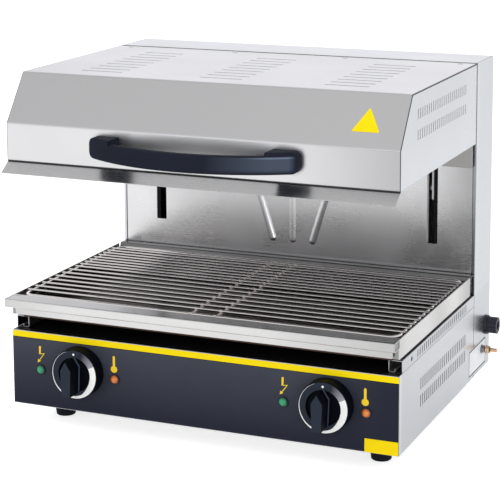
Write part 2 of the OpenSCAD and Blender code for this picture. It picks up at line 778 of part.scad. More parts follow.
module bonding_stud() color(brass) placed() {
  rod_x(in_x - stud_in, stud_y, stud_z, stud_r, stud_nuts_end - in_x + stud_in);
  rod_x(stud_nuts_end, stud_y, stud_z, stud_r - 0.5, stud_groove);
  rod_x(stud_nuts_end + stud_groove, stud_y, stud_z, stud_r, hw + stud_out - 1 - stud_nuts_end - stud_groove);
  translate([hw + stud_out - 1, stud_y, stud_z]) rotate([0, 90, 0]) cylinder(r1 = stud_r, r2 = stud_r - 1, h = 1);
}

module bonding_nuts() color(brass) placed()
  for (x = [in_x - stud_nut_t, hw + stud_washer_t, stud_nuts_end - stud_nut_t])
    translate([x, stud_y, stud_z]) rotate([0, 90, 0]) difference() {
      union() {
        cylinder(r = 2 * stud_r, h = stud_nut_t, $fn = 6);
        if (x > hw) translate([0, 0, -stud_washer_t]) cylinder(r = 2 * stud_r + 1, h = stud_washer_t);
      }
      translate([0, 0, -5]) cylinder(r = stud_r + 0.05, h = 20);
    }

module terminal_block() color([0.86, 0.84, 0.78]) placed()
  difference() {
    union() {
      block([terminal_x, terminal_y, sheet], [terminal_x + terminal_l, terminal_y + terminal_d, sheet + 14]);
      block([terminal_x + 4, terminal_y + 5, sheet + 14],
            [terminal_x + terminal_l - 4, terminal_y + terminal_d - 5, sheet + 22]);
    }
    for (i = [1:terminal_ways]) {
      rod_y(terminal_x + i * terminal_pitch, terminal_y - 1, sheet + 8, 2.5, terminal_d + 2);
      rod_z(terminal_x + i * terminal_pitch, terminal_y + terminal_d / 2, sheet + 8, 2.2, 20);
    }
  }

// ---------- hood ----------

// The cover's outer face from its back edge, over the top, down the slope
// and the upright band
hood_path = [
  [hood_back, casing_h], [slope_d - band_out, casing_h], [band_y, slope_z], [band_y, hood_z]
];

// The part of that path where the sides' flanges lie under the cover
hood_flange_path = [
  [rear_plate_y - flange - hood_seam, casing_h], hood_path[1], hood_path[2],
  [band_y, hood_z + flange + hood_seam]
];
side_path = offset_path(hood_path, sheet + hood_seam);

module hood_cover() color(steel) placed()
  difference() {
    along_x(-hw, casing_w) bent_outline(hood_path, sheet, bend_r);
    for (g = [-1, 0, 1], i = [0:top_slots - 1])
      block([g * top_group_pitch - top_slot_l / 2, top_slot_y + i * top_slot_pitch, casing_h - 2 * sheet],
            [g * top_group_pitch + top_slot_l / 2, top_slot_y + i * top_slot_pitch + top_slot_w, casing_h + 1]);
    for (x = hood_screw_xs) rod_z(x, hood_screw_y, casing_h - 2 * sheet, screw_hole_r, 4 * sheet);
    for (x = handle_screw_xs) rod_y(x, band_y - 1, handle_z, handle_screw_r + 0.1, sheet + 2);
  }

// Side plate, a seam's width inside the cover, with flanges under the cover
module hood_side(side) color(steel) placed() on_side(side)
  difference() {
    union() {
      along_x(in_x, sheet)
        polygon(concat(filleted(side_path, bend_r, sheet + hood_seam), [[hood_back, hood_z]]));
      along_x(in_x - flange, flange + weld)
        bent_outline(offset_path(hood_flange_path, sheet), sheet, bend_r - sheet);
      block([in_x - flange, flange, hood_z], [in_x, rear_plate_y - fit, hood_z + sheet]);
    }
    for (z = hood_slot_rows)
      side_slot_row(hood_slot_y, hood_slot_pitch, side_slots, hood_slot_w, z, hood_slot_l);
  }
module hood_side_left() hood_side(-1);
module hood_side_right() hood_side(1);

module hood_rear_plate() color(steel) placed()
  difference() {
    union() {
      block([-rear_plate_hx, rear_plate_y, hood_z - rear_plate_drop], [rear_plate_hx, rear_plate_back, casing_h - sheet]);
      block([-rear_plate_hx, rear_plate_y - flange, casing_h - 2 * sheet], [rear_plate_hx, rear_plate_y, casing_h - sheet]);
    }
    for (x = hood_screw_xs) rod_z(x, hood_screw_y, casing_h - 4 * sheet, screw_hole_r, 5 * sheet);
  }

// The flared lip hangs inside the band; only its flare runs to the hood's ends
module hood_lip() color(steel) placed()
  intersection() {
    along_x(-hw, casing_w) bent_outline([
      [band_y + sheet, hood_z + flange], [band_y + sheet, hood_z - lip_seam],
      [band_y - lip_out, hood_z - lip_drop]
    ], lip_t, 1.5);
    union() {
      block([-in_x, -casing_d, 0], [in_x, casing_d, casing_h]);
      block([-hw, -casing_d, 0], [hw, casing_d, hood_z - fit]);
    }
  }

module hood_reflector() color(steel) placed() {
  z0 = hood_z + sheet;
  x1 = in_x - fit;
  along_x(-x1, 2 * x1) bent_outline([
    [reflector_front, z0], [reflector_front, reflector_z + sheet],
    [reflector_back, reflector_z + sheet], [reflector_back, z0]
  ], -sheet, 3);
  for (side = [-1, 1]) on_side(side)
    block([x1 - sheet, reflector_front + 3, z0], [x1, reflector_back - 3, reflector_z]);
}

module hood_insulation() color([0.85, 0.82, 0.70]) placed()
  block([-in_x + 4, reflector_front + 4, reflector_z + sheet],
        [in_x - 4, reflector_back - 4, reflector_z + sheet + insulation_t]);

// A heating tube that runs to and fro across its half of the hood
module heating_element(side) color([0.30, 0.28, 0.27]) placed() on_side(side)
  translate([0, tube_y, tube_z]) {
    bend = tube_pitch / 2;
    for (i = [0:tube_runs - 1]) {
      end_run = i == 0 || i == tube_runs - 1;
      x0 = end_run ? tube_lead_x : tube_x0 + bend;
      rod_x(x0, i * tube_pitch, 0, tube_r, tube_x1 - bend - x0);
      if (end_run) rod_x(tube_lead_x, i * tube_pitch, 0, tube_r + 2, 16);
    }
    for (i = [0:tube_runs - 2])
      translate([i % 2 == 0 ? tube_x1 - bend : tube_x0 + bend, (i + 0.5) * tube_pitch, 0])
        rotate([0, 0, i % 2 == 0 ? -90 : 90])
          rotate_extrude(angle = 180) translate([bend, 0]) circle(tube_r);
  }
module heating_element_left() heating_element(-1);
module heating_element_right() heating_element(1);

// Straps under the tubes, hung from the reflector at both ends
module element_hangers() color(steel) placed()
  for (side = [-1, 1], x = hanger_xs) on_side(side) {
    y0 = tube_y - 15;
    y1 = tube_y + (tube_runs - 1) * tube_pitch + 15;
    z0 = tube_z - tube_r - hanger_t;
    block([x, y0, z0], [x + hanger_w, y1, z0 + hanger_t]);
    for (y = [y0, y1 - hanger_t]) block([x, y, z0], [x + hanger_w, y + hanger_t, reflector_z]);
  }

// Bowed grip turned about an upright axis behind the band, with solid ends
module hood_handle() color(slate) placed() {
  half = handle_l / 2;
  rise = handle_reach - handle_end_t;
  bow_r = (half * half + rise * rise) / (2 * rise);
  low = handle_z - handle_end_h / 2;
  centre = [0, band_y - handle_reach + bow_r, low];
  difference() {
    intersection() {
      union() {
        translate(centre) rotate_extrude($fn = 180)
          translate([bow_r - grip_t, 0]) round_rect([grip_t, grip_h], grip_edge_r);
        intersection() {
          translate(centre) rotate_extrude($fn = 180) {
            translate([bow_r - 4 * grip_t, 0]) round_rect([4 * grip_t, handle_end_h], grip_edge_r);
            square([bow_r - 2 * grip_t, handle_end_h]);
          }
          for (side = [-1, 1]) on_side(side)
            block([half - handle_end_l, band_y - handle_reach, low], [half, band_y, low + handle_end_h]);
        }
      }
      translate([-half, band_y, low]) rotate([90, 0, 0])
        linear_extrude(handle_reach + 1) round_rect([handle_l, handle_end_h], handle_corner_r);
    }
    for (x = handle_screw_xs)
      rod_y(x, band_y - handle_screw_l, handle_z, handle_screw_r + 0.05, handle_screw_l + 1);
  }
}

module handle_screws() color(steel) placed()
  for (x = handle_screw_xs) {
    rod_y(x, band_y - handle_screw_l + fit, handle_z, handle_screw_r, handle_screw_l - fit + sheet);
    rod_y(x, band_y + sheet, handle_z, 2 * handle_screw_r - 1, 2.2);
  }

module hood_screws() color(steel) placed()
  for (x = hood_screw_xs) {
    rod_z(x, hood_screw_y, casing_h - 4 * sheet, screw_hole_r - 0.1, 4 * sheet);
    rod_z(x, hood_screw_y, casing_h, screw_head_r - 0.4, 0.8);
  }

// Arm through the lift slot, leg with two shoe bolts, and a tab for the strut
module lift_carriage(side) color(steel) placed() on_side(side) {
  leg_y0 = plate_back + 1.5;
  leg_y1 = strut_y + bracket_w / 2;
  along_x(carriage_x, carriage_t) polygon([
    [rear_plate_back, arm_z], [leg_y0, arm_z], [leg_y0, leg_z], [leg_y1 - carriage_foot, leg_z],
    [leg_y1, leg_z + shoe_h], [leg_y1, carriage_top], [rear_plate_back, carriage_top]
  ]);
  block([carriage_x - carriage_plate_w, rear_plate_back, arm_z],
        [carriage_x, rear_plate_back + carriage_t, carriage_top]);
  block([strut_x - bracket_w / 2, strut_y - bracket_w / 2, tab_z], [carriage_x, leg_y1, tab_z + carriage_t]);
  for (z = shoe_zs)
    translate([carriage_x - shoe_bolt_h, shoe_y0 + shoe_d / 2, z]) rotate([0, 90, 0])
      cylinder(r = shoe_bolt_r, h = shoe_bolt_h, $fn = 6);
}
module lift_carriage_left() lift_carriage(-1);
module lift_carriage_right() lift_carriage(1);

module guide_shoes() color([0.90, 0.90, 0.86]) placed()
  for (side = [-1, 1], z = shoe_zs) on_side(side)
    block([carriage_x + carriage_t, shoe_y0, z - shoe_h / 2],
          [carriage_x + carriage_t + shoe_t, shoe_y0 + shoe_d, z + shoe_h / 2]);

// ---------- tray and rack ----------

// What is cut from the lower front at one end, to leave a rounded corner
module fold_corner() {
  lip_h = rim_drop - lip_z;
  corner_x = hw - lip_inset - fold_r;
  difference() {
    translate([corner_x + 1, lip_z - 5]) square([lip_inset + fold_r, lip_h + 5 - 0.4]);
    translate([corner_x - 1, lip_z + fold_r]) square([fold_r + 1, lip_h]);
    translate([corner_x, lip_z + fold_r]) circle(fold_r);
  }
}

module drip_tray() color(steel) placed() {
  difference() {
    block([-pan_hx - sheet, pan_front, tray_z], [pan_hx + sheet, pan_back, ledge_z]);
    block([-pan_hx, pan_front + sheet, tray_z + sheet], [pan_hx, pan_back - sheet, ledge_z + 1]);
  }
  for (side = [-1, 1]) on_side(side) {
    block([pan_hx, pan_front, ledge_z - sheet], [hw, pan_back, ledge_z]);
    block([in_x, gusset_back, side_z], [hw, pan_back - 5, rim_z]);
    along_x(hw - 2 * sheet, sheet) polygon([
      [sheet - tray_out, rim_z - sheet], [sheet - tray_out, rim_drop + 0.4], [gusset_back, rim_drop + 0.4],
      [gusset_back, side_z], [pan_front + 4, side_z], [pan_front + 4, rim_z - sheet]
    ]);
    block([hw - side_tab, gusset_back, side_z], [in_x, gusset_back + sheet, rim_z - sheet / 2]);
  }
  difference() {
    along_x(-hw, casing_w) bent_outline([
      [pan_front + sheet, ledge_z - 1], [pan_front + sheet - 3, rim_z], [-tray_out, rim_z],
      [-tray_out, rim_drop], [lip_y, rim_drop], [lip_y, lip_z]
    ], sheet, 2);
    for (side = [-1, 1]) on_side(side) along_y(-casing_d, casing_d) fold_corner();
  }
  along_x(-hw, casing_w) bent_outline([
    [pan_back - sheet, ledge_z - 1], [pan_back - sheet + 3, rim_z], [rim_back, rim_z],
    [rim_back, rim_z - 10]
  ], -sheet, 2);
}

module rack_corner(x, y, turn) translate([x, y, rack_z]) rotate([0, 0, turn])
  rotate_extrude(angle = 90) translate([rack_corner_r, 0]) circle(frame_wire_r);

module wire_rack() color(steel) placed() {
  cx = rack_hx - rack_corner_r;
  for (y = [rack_front, rack_back]) rod_x(-cx, y, rack_z, frame_wire_r, 2 * cx);
  for (x = [-rack_hx, rack_hx])
    rod_y(x, rack_front + rack_corner_r, rack_z, frame_wire_r, rack_back - rack_front - 2 * rack_corner_r);
  rack_corner(cx, rack_back - rack_corner_r, 0);
  rack_corner(-cx, rack_back - rack_corner_r, 90);
  rack_corner(-cx, rack_front + rack_corner_r, 180);
  rack_corner(cx, rack_front + rack_corner_r, 270);
  for (y = inner_wire_ys) rod_x(-rack_wire_x, y, rack_wire_z, wire_r, 2 * rack_wire_x);
  for (x = [-cross_wire_x, cross_wire_x])
    rod_y(x, rack_front, rack_z - 0.6, wire_r, rack_back - rack_front);
}

// ---------- parts ----------

base_pan();
control_panel();
lower_side_left();
lower_side_right();
side_frame_left();
side_frame_right();
tray_rail_left();
tray_rail_right();
base_deck();
column_front();
column_top();
column_rear();
foot_front_left();
foot_front_right();
foot_rear_left();
foot_rear_right();
foot_screws();
heat_regulator_left();
heat_regulator_right();
regulator_shaft_left();
regulator_shaft_right();
power_lamps();
heating_lamps();
lamp_holders();
cable_gland_body();
cable_gland_nut();
cable_gland_locknut();
bonding_stud();
bonding_nuts();
terminal_block();
guide_channel_left();
guide_channel_right();
gas_strut_left();
gas_strut_right();
strut_brackets();
strut_rod_left();
strut_rod_right();
casing_screws();
hood_cover();
hood_side_left();
hood_side_right();
hood_rear_plate();
hood_lip();
hood_reflector();
hood_insulation();
heating_element_left();
heating_element_right();
element_hangers();
hood_handle();
handle_screws();
lift_carriage_left();
lift_carriage_right();
guide_shoes();
hood_screws();
drip_tray();
wire_rack();
knob_left();
knob_right();
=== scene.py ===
# %% [markdown]
# # A lift-hood salamander grill
# The real object is a bench-top kitchen grill. Bent stainless sheets make its
# hood, column and base. The front panel has a printed film, and the knobs, feet,
# handle and gland are moulded plastic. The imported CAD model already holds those
# forms, so this lesson dresses them: each sheet, moulding and print gets the
# finish of the real one, and the thin prints and plates are made as meshes.

import json
import math

import bmesh
import bpy
from mathutils import Matrix, Vector


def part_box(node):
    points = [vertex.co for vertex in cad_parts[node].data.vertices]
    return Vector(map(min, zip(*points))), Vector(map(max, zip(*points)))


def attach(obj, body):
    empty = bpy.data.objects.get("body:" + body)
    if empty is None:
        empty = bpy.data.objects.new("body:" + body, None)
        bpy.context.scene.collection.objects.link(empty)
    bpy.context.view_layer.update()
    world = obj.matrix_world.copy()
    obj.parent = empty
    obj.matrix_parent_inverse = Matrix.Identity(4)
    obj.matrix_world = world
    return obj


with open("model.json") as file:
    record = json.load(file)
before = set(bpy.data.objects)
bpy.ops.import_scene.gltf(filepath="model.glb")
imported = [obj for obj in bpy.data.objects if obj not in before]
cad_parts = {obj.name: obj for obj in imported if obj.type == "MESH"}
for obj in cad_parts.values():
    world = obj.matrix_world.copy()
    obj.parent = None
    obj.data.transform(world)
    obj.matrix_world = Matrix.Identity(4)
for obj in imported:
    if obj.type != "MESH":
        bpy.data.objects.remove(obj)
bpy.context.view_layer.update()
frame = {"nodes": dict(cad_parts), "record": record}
nodes = frame["nodes"]

# %% [markdown]
# ## The casing's own coordinates
# A maker measures this appliance from the middle of the control panel's lower
# edge. The model's frame has its origin in the middle of the footprint instead.
# One small function turns casing millimetres into the frame's metres, and another
# turns them back, so every place below is a number that a maker would read off a
# drawing. Where a place belongs to a CAD node, it is read from that node's box.

# %% Casing millimetres
panel_low, panel_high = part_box("control_panel")
panel_foot = ((panel_low.x + panel_high.x) / 2, panel_low.y, panel_low.z)
CASING_ORIGIN = Vector([round(-1000.0 * v, 3) for v in panel_foot])
HALF_WIDTH = round(500.0 * (panel_high.x - panel_low.x), 3)


def casing(x, y, z):
    """A place in the frame, in metres, from casing millimetres."""
    return (Vector((x, y, z)) - CASING_ORIGIN) / 1000.0


def in_casing(place):
    """Casing millimetres of a place in the frame."""
    return Vector([round(1000.0 * v + start, 3) for v, start in zip(place, CASING_ORIGIN)])


def limits(name):
    """A CAD node's lowest and highest corner in casing millimetres."""
    return [in_casing(corner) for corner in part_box(name)]


PANEL_HIGH = limits("control_panel")[1]
print("panel's foot is at", [round(v, 4) for v in casing(0, 0, 0)], "m, its height is", PANEL_HIGH.z, "mm")

# %% [markdown]
# ## Wiring nodes
# Materials here are small networks of shader nodes. Each one could be clicked
# together in the editor. Here one helper adds a node, sets its options, and
# either fills or links each input, so a network reads as a list of its parts.
# The steps that come back in many materials have short helpers of their own.


# %% Node helpers
def add_node(tree, kind, inputs=None, **options):
    made = tree.nodes.new(kind)
    for name, value in options.items():
        setattr(made, name, value)
    for name, value in (inputs or {}).items():
        if isinstance(value, bpy.types.NodeSocket):
            tree.links.new(value, made.inputs[name])
        else:
            made.inputs[name].default_value = value
    return made


def number(tree, operation, a, b=0.0, clamp=False):
    return add_node(tree, "ShaderNodeMath", {0: a, 1: b}, operation=operation, use_clamp=clamp).outputs[0]


def both(tree, *masks):
    product = masks[0]
    for mask in masks[1:]:
        product = number(tree, "MULTIPLY", product, mask)
    return product


def darker(tree, mask, amount):
    """A tone that is 1, and less by the amount where the mask is full."""
    return number(tree, "SUBTRACT", 1.0, number(tree, "MULTIPLY", mask, amount))


def spot(tree):
    """The place on the object that is being shaded, in the frame's metres."""
    return add_node(tree, "ShaderNodeTexCoord").outputs["Object"]


def axis_of(tree, vector, axis):
    return add_node(tree, "ShaderNodeSeparateXYZ", {0: vector}).outputs[axis]


def ramp(tree, value, start, end):
    """A value's way from start to end, as 0 to 1."""
    inputs = {"Value": value, "From Min": start, "From Max": end}
    return add_node(tree, "ShaderNodeMapRange", inputs).outputs[0]


def blend(tree, factor, first, second, blend_type="MIX"):
    """Two colours, each given as a socket or as red, green and blue, mixed by a factor."""
    inputs = {"Factor": factor}
    for index, colour in ((6, first), (7, second)):
        inputs[index] = colour if isinstance(colour, bpy.types.NodeSocket) else (*colour, 1.0)
    return add_node(tree, "ShaderNodeMix", inputs, data_type="RGBA", blend_type=blend_type).outputs[2]


print("helpers: add_node, number, both, darker, spot, axis_of, ramp, blend")

# %% [markdown]
# ## Groups
# Grain, wipe marks, dark joints and moulded skin come back in many materials. A
# node group is built once and placed in each of them with its own values, like a
# function. Its sockets are named, and each output changes over the surface.


# %% Group helper
def new_group(name, sockets_in, outputs):
    """A group with float or vector inputs and float outputs."""
    tree = bpy.data.node_groups.new(name, "ShaderNodeTree")
    for label, value in sockets_in.items():
        kind = "NodeSocketVector" if isinstance(value, tuple) else "NodeSocketFloat"
        tree.interface.new_socket(label, in_out="INPUT", socket_type=kind).default_value = value
    for label in outputs:
        tree.interface.new_socket(label, in_out="OUTPUT", socket_type="NodeSocketFloat")
    return tree, tree.nodes.new("NodeGroupInput").outputs


def put_out(tree, **values):
    """Links the group's outputs and prints what the group holds."""
    result = tree.nodes.new("NodeGroupOutput")
    for label, value in values.items():
        tree.links.new(value, result.inputs[label])
    print("group", tree.name, "has", len(tree.nodes), "nodes and puts out", ", ".join(values))


def use_group(tree, group, **inputs):
    made = add_node(tree, "ShaderNodeGroup", node_tree=group)
    for label, value in inputs.items():
        made.inputs[label].default_value = value
    return made.outputs


print("helpers: new_group, put_out, use_group")

# %% [markdown]
# ## Brushed grain
# Stainless sheet is finished with a belt that leaves fine straight scratches.
# They could be painted as an image, but a noise stretched along one direction
# gives endless grain that fits every sheet. The group has one input for the
# stretch, so that each sheet can have its own grain direction.

# %% Brushed grain group
LONG, FINE = 12.0, 1800.0  # noise cells per metre along a scratch and across it
ALONG_X = (LONG, FINE, FINE)
ALONG_Y = (FINE, LONG, FINE)
ALONG_Z = (FINE, FINE, LONG)
GRAIN_DULLING = 0.10  # how far the roughness follows the scratches

grain_tree, grain_in = new_group(
    "brushed_grain", {"Stretch": ALONG_X, "Strength": 0.04}, ["Tone", "Roughness", "Height"]
)
stretched = add_node(
    grain_tree, "ShaderNodeMapping", {"Vector": spot(grain_tree), "Scale": grain_in["Stretch"]}
).outputs[0]
scratches = add_node(
    grain_tree, "ShaderNodeTexNoise", {"Vector": stretched, "Scale": 1.0, "Detail": 3.0}
).outputs["Fac"]
centred = number(grain_tree, "SUBTRACT", scratches, 0.5)
swing = number(grain_tree, "MULTIPLY", centred, grain_in["Strength"])
put_out(
    grain_tree,
    Tone=number(grain_tree, "ADD", swing, 1.0),
    Roughness=number(grain_tree, "MULTIPLY", centred, GRAIN_DULLING),
    Height=scratches,
)

# %% [markdown]
# ## Wiped surfaces
# Steel in a kitchen is wiped every day, and each wipe leaves soft clouds where
# the sheet is a little duller. A single smooth noise would look like fog, so this
# one has fine detail and is pulled out of shape. It changes the roughness much
# more than the colour, as on the real sheet.

# %% Wipe marks group
WIPE_TONE, WIPE_DULLING = 0.6, 1.6  # shares of a cloud that reach colour and roughness

wipe_tree, wipe_in = new_group("wipe_marks", {"Size": 9.0, "Amount": 0.08}, ["Tone", "Roughness"])
clouds = add_node(
    wipe_tree,
    "ShaderNodeTexNoise",
    {"Vector": spot(wipe_tree), "Scale": wipe_in["Size"], "Detail": 4.0, "Distortion": 0.6},
).outputs["Fac"]
spread = number(wipe_tree, "MULTIPLY", number(wipe_tree, "SUBTRACT", clouds, 0.5), wipe_in["Amount"])
put_out(
    wipe_tree,
    Tone=darker(wipe_tree, spread, WIPE_TONE),
    Roughness=number(wipe_tree, "MULTIPLY", spread, WIPE_DULLING),
)

# %% [markdown]
# ## Dark joints
# Where two sheets meet, light hardly reaches the gap and grease collects in it.
# An ambient occlusion node finds such places from the shape itself, so one group
# paints shade into every joint, slot edge and inner corner by the same rule.

# %% Joint shade group
JOINT_FALLOFF = 1.5  # a higher power keeps the shade closer to the joint

joint_tree, joint_in = new_group("joint_shade", {"Reach": 0.006, "Depth": 0.5}, ["Tone"])
nearby = add_node(joint_tree, "ShaderNodeAmbientOcclusion", {"Distance": joint_in["Reach"]}, samples=6)
closed_in = number(joint_tree, "SUBTRACT", 1.0, nearby.outputs["AO"])
crowded = number(joint_tree, "POWER", closed_in, JOINT_FALLOFF)
depth = number(joint_tree, "MULTIPLY", crowded, joint_in["Depth"])
put_out(joint_tree, Tone=number(joint_tree, "SUBTRACT", 1.0, depth, clamp=True))

# %% [markdown]
# ## Moulded skin
# Injection-moulded plastic copies the spark-eroded skin of its mould: a fine even
# grit that scatters light. A small Voronoi pattern gives the grit, and a wide
# noise makes the slight difference in shine that handling leaves.

# %% Moulded skin group
WORN_SCALE, WORN_TONE = 22.0, 0.25

skin_tree, skin_in = new_group(
    "moulded_skin", {"Grit": 1400.0, "Handling": 0.1}, ["Tone", "Roughness", "Height"]
)
place = spot(skin_tree)
grit = add_node(skin_tree, "ShaderNodeTexVoronoi", {"Vector": place, "Scale": skin_in["Grit"]})
worn = add_node(skin_tree, "ShaderNodeTexNoise", {"Vector": place, "Scale": WORN_SCALE, "Detail": 3.0})
centred = number(skin_tree, "SUBTRACT", worn.outputs["Fac"], 0.5)
put_out(
    skin_tree,
    Tone=number(skin_tree, "ADD", 1.0, number(skin_tree, "MULTIPLY", centred, WORN_TONE)),
    Roughness=number(skin_tree, "MULTIPLY", centred, skin_in["Handling"]),
    Height=grit.outputs["Distance"],
)

# %% [markdown]
# ## Ramps and faces
# A sheet here isn't evenly bright: one end has painted shade, a cut edge has a
# painted dark line of shade, and the floor of a pan is tinted brown. Such places
# could be painted by hand. Here they are found from the shape itself, with two
# kinds of mask. A ramp goes from 0 at one place to 1 at another, and a facing mask
# keeps only the faces that look one way. Both use the object's own coordinates, so
# a mask moves with its piece.

# %% Ramps and faces
FRONT, TOP, RIGHT_SIDE = ("Y", -1), ("Z", 1), ("X", 1)


def rising(tree, axis, start, end):
    """A ramp along an axis between two places in casing millimetres."""
    low, high = (getattr(casing(v, v, v), axis.lower()) for v in (start, end))
    return ramp(tree, axis_of(tree, spot(tree), axis), low, high)


def apart(tree, start, end):
    """The same for the distance from the machine's middle plane, alike on both sides."""
    across = number(tree, "SUBTRACT", axis_of(tree, spot(tree), "X"), casing(0, 0, 0).x)
    return ramp(tree, number(tree, "ABSOLUTE", across), start / 1000.0, end / 1000.0)


def facing(tree, axis, way, least=0.95):
    """A mask of the faces that look along an axis, way 1 or -1, with a cosine above the least."""
    normal = add_node(tree, "ShaderNodeNewGeometry").outputs["True Normal"]
    along = number(tree, "MULTIPLY", axis_of(tree, normal, axis), way)
    return number(tree, "GREATER_THAN", along, least)


print("ways that faces look: FRONT", FRONT, "TOP", TOP, "RIGHT_SIDE", RIGHT_SIDE)

# %% [markdown]
# ## Areas
# An area puts such masks together under one name: it is where all of them are
# full. In each of its ramps it begins at the first number and is full at the
# second, and two ramps on one axis make a stripe. An area is a function, because
# its nodes have to be drawn anew in each material that uses it.


# %% Areas
def area(faces=None, away=(), x=(), y=(), z=()):
    """An area where all the given ramps are full. The ramps of away are read by apart."""

    def mask(tree):
        masks = [facing(tree, *faces)] if faces else []
        masks += [apart(tree, *ends) for ends in away]
        for axis, ramps in zip("XYZ", (x, y, z)):
            masks += [rising(tree, axis, *ends) for ends in ramps]
        return both(tree, *masks)

    return mask


def any_of(*areas):
    def mask(tree):
        found = areas[0](tree)
        for other in areas[1:]:
            found = number(tree, "MAXIMUM", found, other(tree))
        return found

    return mask


def part_of(whole, share):
    """An area that is covered only in part."""
    return lambda tree: number(tree, "MULTIPLY", whole(tree), share)


print("helpers: area, any_of, part_of")

# %% [markdown]
# ## Colour and relief
# Steel and plastic start with the same steps, so each step is a helper: a new
# material, a colour times its tones, and the relief. A real sheet has a broken
# edge that catches a thin line of light. It could be modelled on every sheet, but
# a Bevel node rounds all edges in the shading alone, by about a millimetre, and a
# Bump node lays the scratches or the grit over them.

# %% Colour and relief
BEVEL_SAMPLES = 4
BROKEN_EDGE, ROLLED_EDGE = 0.0007, 0.0015  # edge radii in metres
SHARP_GRIT = 0.0002  # height of scratches and grit in metres


def new_material(name, **shader_inputs):
    material = bpy.data.materials.new(name)
    material.use_nodes = True
    tree = material.node_tree
    shader = tree.nodes["Principled BSDF"]
    for label, value in shader_inputs.items():
        shader.inputs[label.replace("_", " ")].default_value = value
    return material, tree, shader


def toned(tree, colour, *tones):
    """The colour, made lighter or darker by each of the tones."""
    return blend(tree, 1.0, colour, both(tree, *tones), "MULTIPLY")


def relief(tree, shader, radius, height, strength, grit_height=SHARP_GRIT):
    """Rounds the edges and lays a fine bump over them."""
    edges = add_node(tree, "ShaderNodeBevel", {"Radius": radius}, samples=BEVEL_SAMPLES).outputs[0]
    inputs = {"Height": height, "Strength": strength, "Distance": grit_height, "Normal": edges}
    tree.links.new(add_node(tree, "ShaderNodeBump", inputs).outputs[0], shader.inputs["Normal"])


print("edge radius in mm:", BROKEN_EDGE * 1000, "where cut,", ROLLED_EDGE * 1000, "where rolled")

# %% [markdown]
# ## Steel recipe
# All sheets share one recipe: the alloy's colour times grain, wipe marks and
# painted joint shade, with the relief over it. A sheet can pass shades, which are
# painted shade and painted light, each an area and how much darker it is, below
# zero for paler. It can also pass a stain: an area, its hue, and how far it covers
# the metal.

# %% Steel recipe
GRAIN_BUMP = 0.02
OVER_METAL, IN_METAL = 1.0, 0.0  # a stain that hides the metal, and one that only tints it


def steel(
    name, colour, grain=ALONG_X, roughness=0.3, strength=0.03, wipes=0.08, joints=0.7,
    edge=BROKEN_EDGE, metal=1.0, shades=None, stain=None,
):
    material, tree, shader = new_material(name, Metallic=metal)
    scratched = use_group(tree, grain_tree, Stretch=grain, Strength=strength)
    wiped = use_group(tree, wipe_tree, Amount=wipes)
    joint = use_group(tree, joint_tree, Depth=joints)
    shaded = [darker(tree, mask(tree), depth) for mask, depth in (shades or {}).values()]
    alloy = toned(tree, colour, scratched["Tone"], wiped["Tone"], joint["Tone"], *shaded)
    if stain:
        mask, hue, cover = stain
        stained = mask(tree)
        alloy = blend(tree, stained, alloy, hue)
        tree.links.new(darker(tree, stained, cover), shader.inputs["Metallic"])
    tree.links.new(alloy, shader.inputs["Base Color"])
    grained = number(tree, "ADD", scratched["Roughness"], roughness)
    tree.links.new(number(tree, "ADD", grained, wiped["Roughness"], clamp=True), shader.inputs["Roughness"])
    relief(tree, shader, edge, scratched["Height"], GRAIN_BUMP)
    return material


print("steel's grain is a bump of strength", GRAIN_BUMP, "and", SHARP_GRIT * 1000, "mm high")

# %% [markdown]
# ## Plain steels
# Most parts need no more than the recipe with their own grey, grain direction and
# roughness. Outer sheets are bright. Inner brackets are plain dull steel, the
# heating tubes are burnt dark, and the rods of the gas struts are ground and
# chromed, so they are almost a mirror.

# %% Plain steels
SHEET_GREY = (0.79, 0.795, 0.82)
HOOD_GREY = (0.79, 0.79, 0.80)
finishes = {
    "steel_case": steel("steel_case", SHEET_GREY),
    "steel_hood": steel("steel_hood", HOOD_GREY, roughness=0.27),
    "steel_inner": steel("steel_inner", (0.50, 0.50, 0.51), ALONG_Z, roughness=0.42, wipes=0.2),
    "element_sheath": steel("element_sheath", (0.16, 0.14, 0.13), roughness=0.5, wipes=0.5),
    "rod_chrome": steel("rod_chrome", (0.85, 0.85, 0.87), ALONG_Z, roughness=0.08, strength=0.02),
}
own_finish = {}  # finishes of single nodes, which win over the finish of their slot
print("plain steels:", ", ".join(finishes))

# %% [markdown]
# ## The hood
# The cover is one bent sheet: a front band, a slope and a top. The band has
# painted shade towards its right end, the slope towards its left end, and the top
# at its front left corner. The top faces the light from above, so it is painted a
# little paler, a painted light. Cut edges, the insides of slots and the groove over
# the lip have painted shade. The hood's side sheets are painted a little paler low
# down. The side sheets have their grain along the machine's depth, which makes them
# look different from the front ones.

# %% Hood steels
COVER_LOW, COVER_HIGH = limits("hood_cover")
BAND_HEIGHT, SLOPE_DEPTH = 54.0, 51.0
SLOPE_FOOT = COVER_LOW.z + BAND_HEIGHT
SLOPE_HEAD = COVER_LOW.y + SLOPE_DEPTH
SIDE_GREY = (0.71, 0.73, 0.765)
# painted shade inside the slots and in the grooves under the sheet's face
SLOT_PAINTED_SHADE = (area(away=[(HALF_WIDTH - 0.5, HALF_WIDTH - 0.9)]), 0.6)
# painted light: faces that look up are painted paler
TOP_PAINTED_LIGHT = (area(faces=TOP), -0.13)

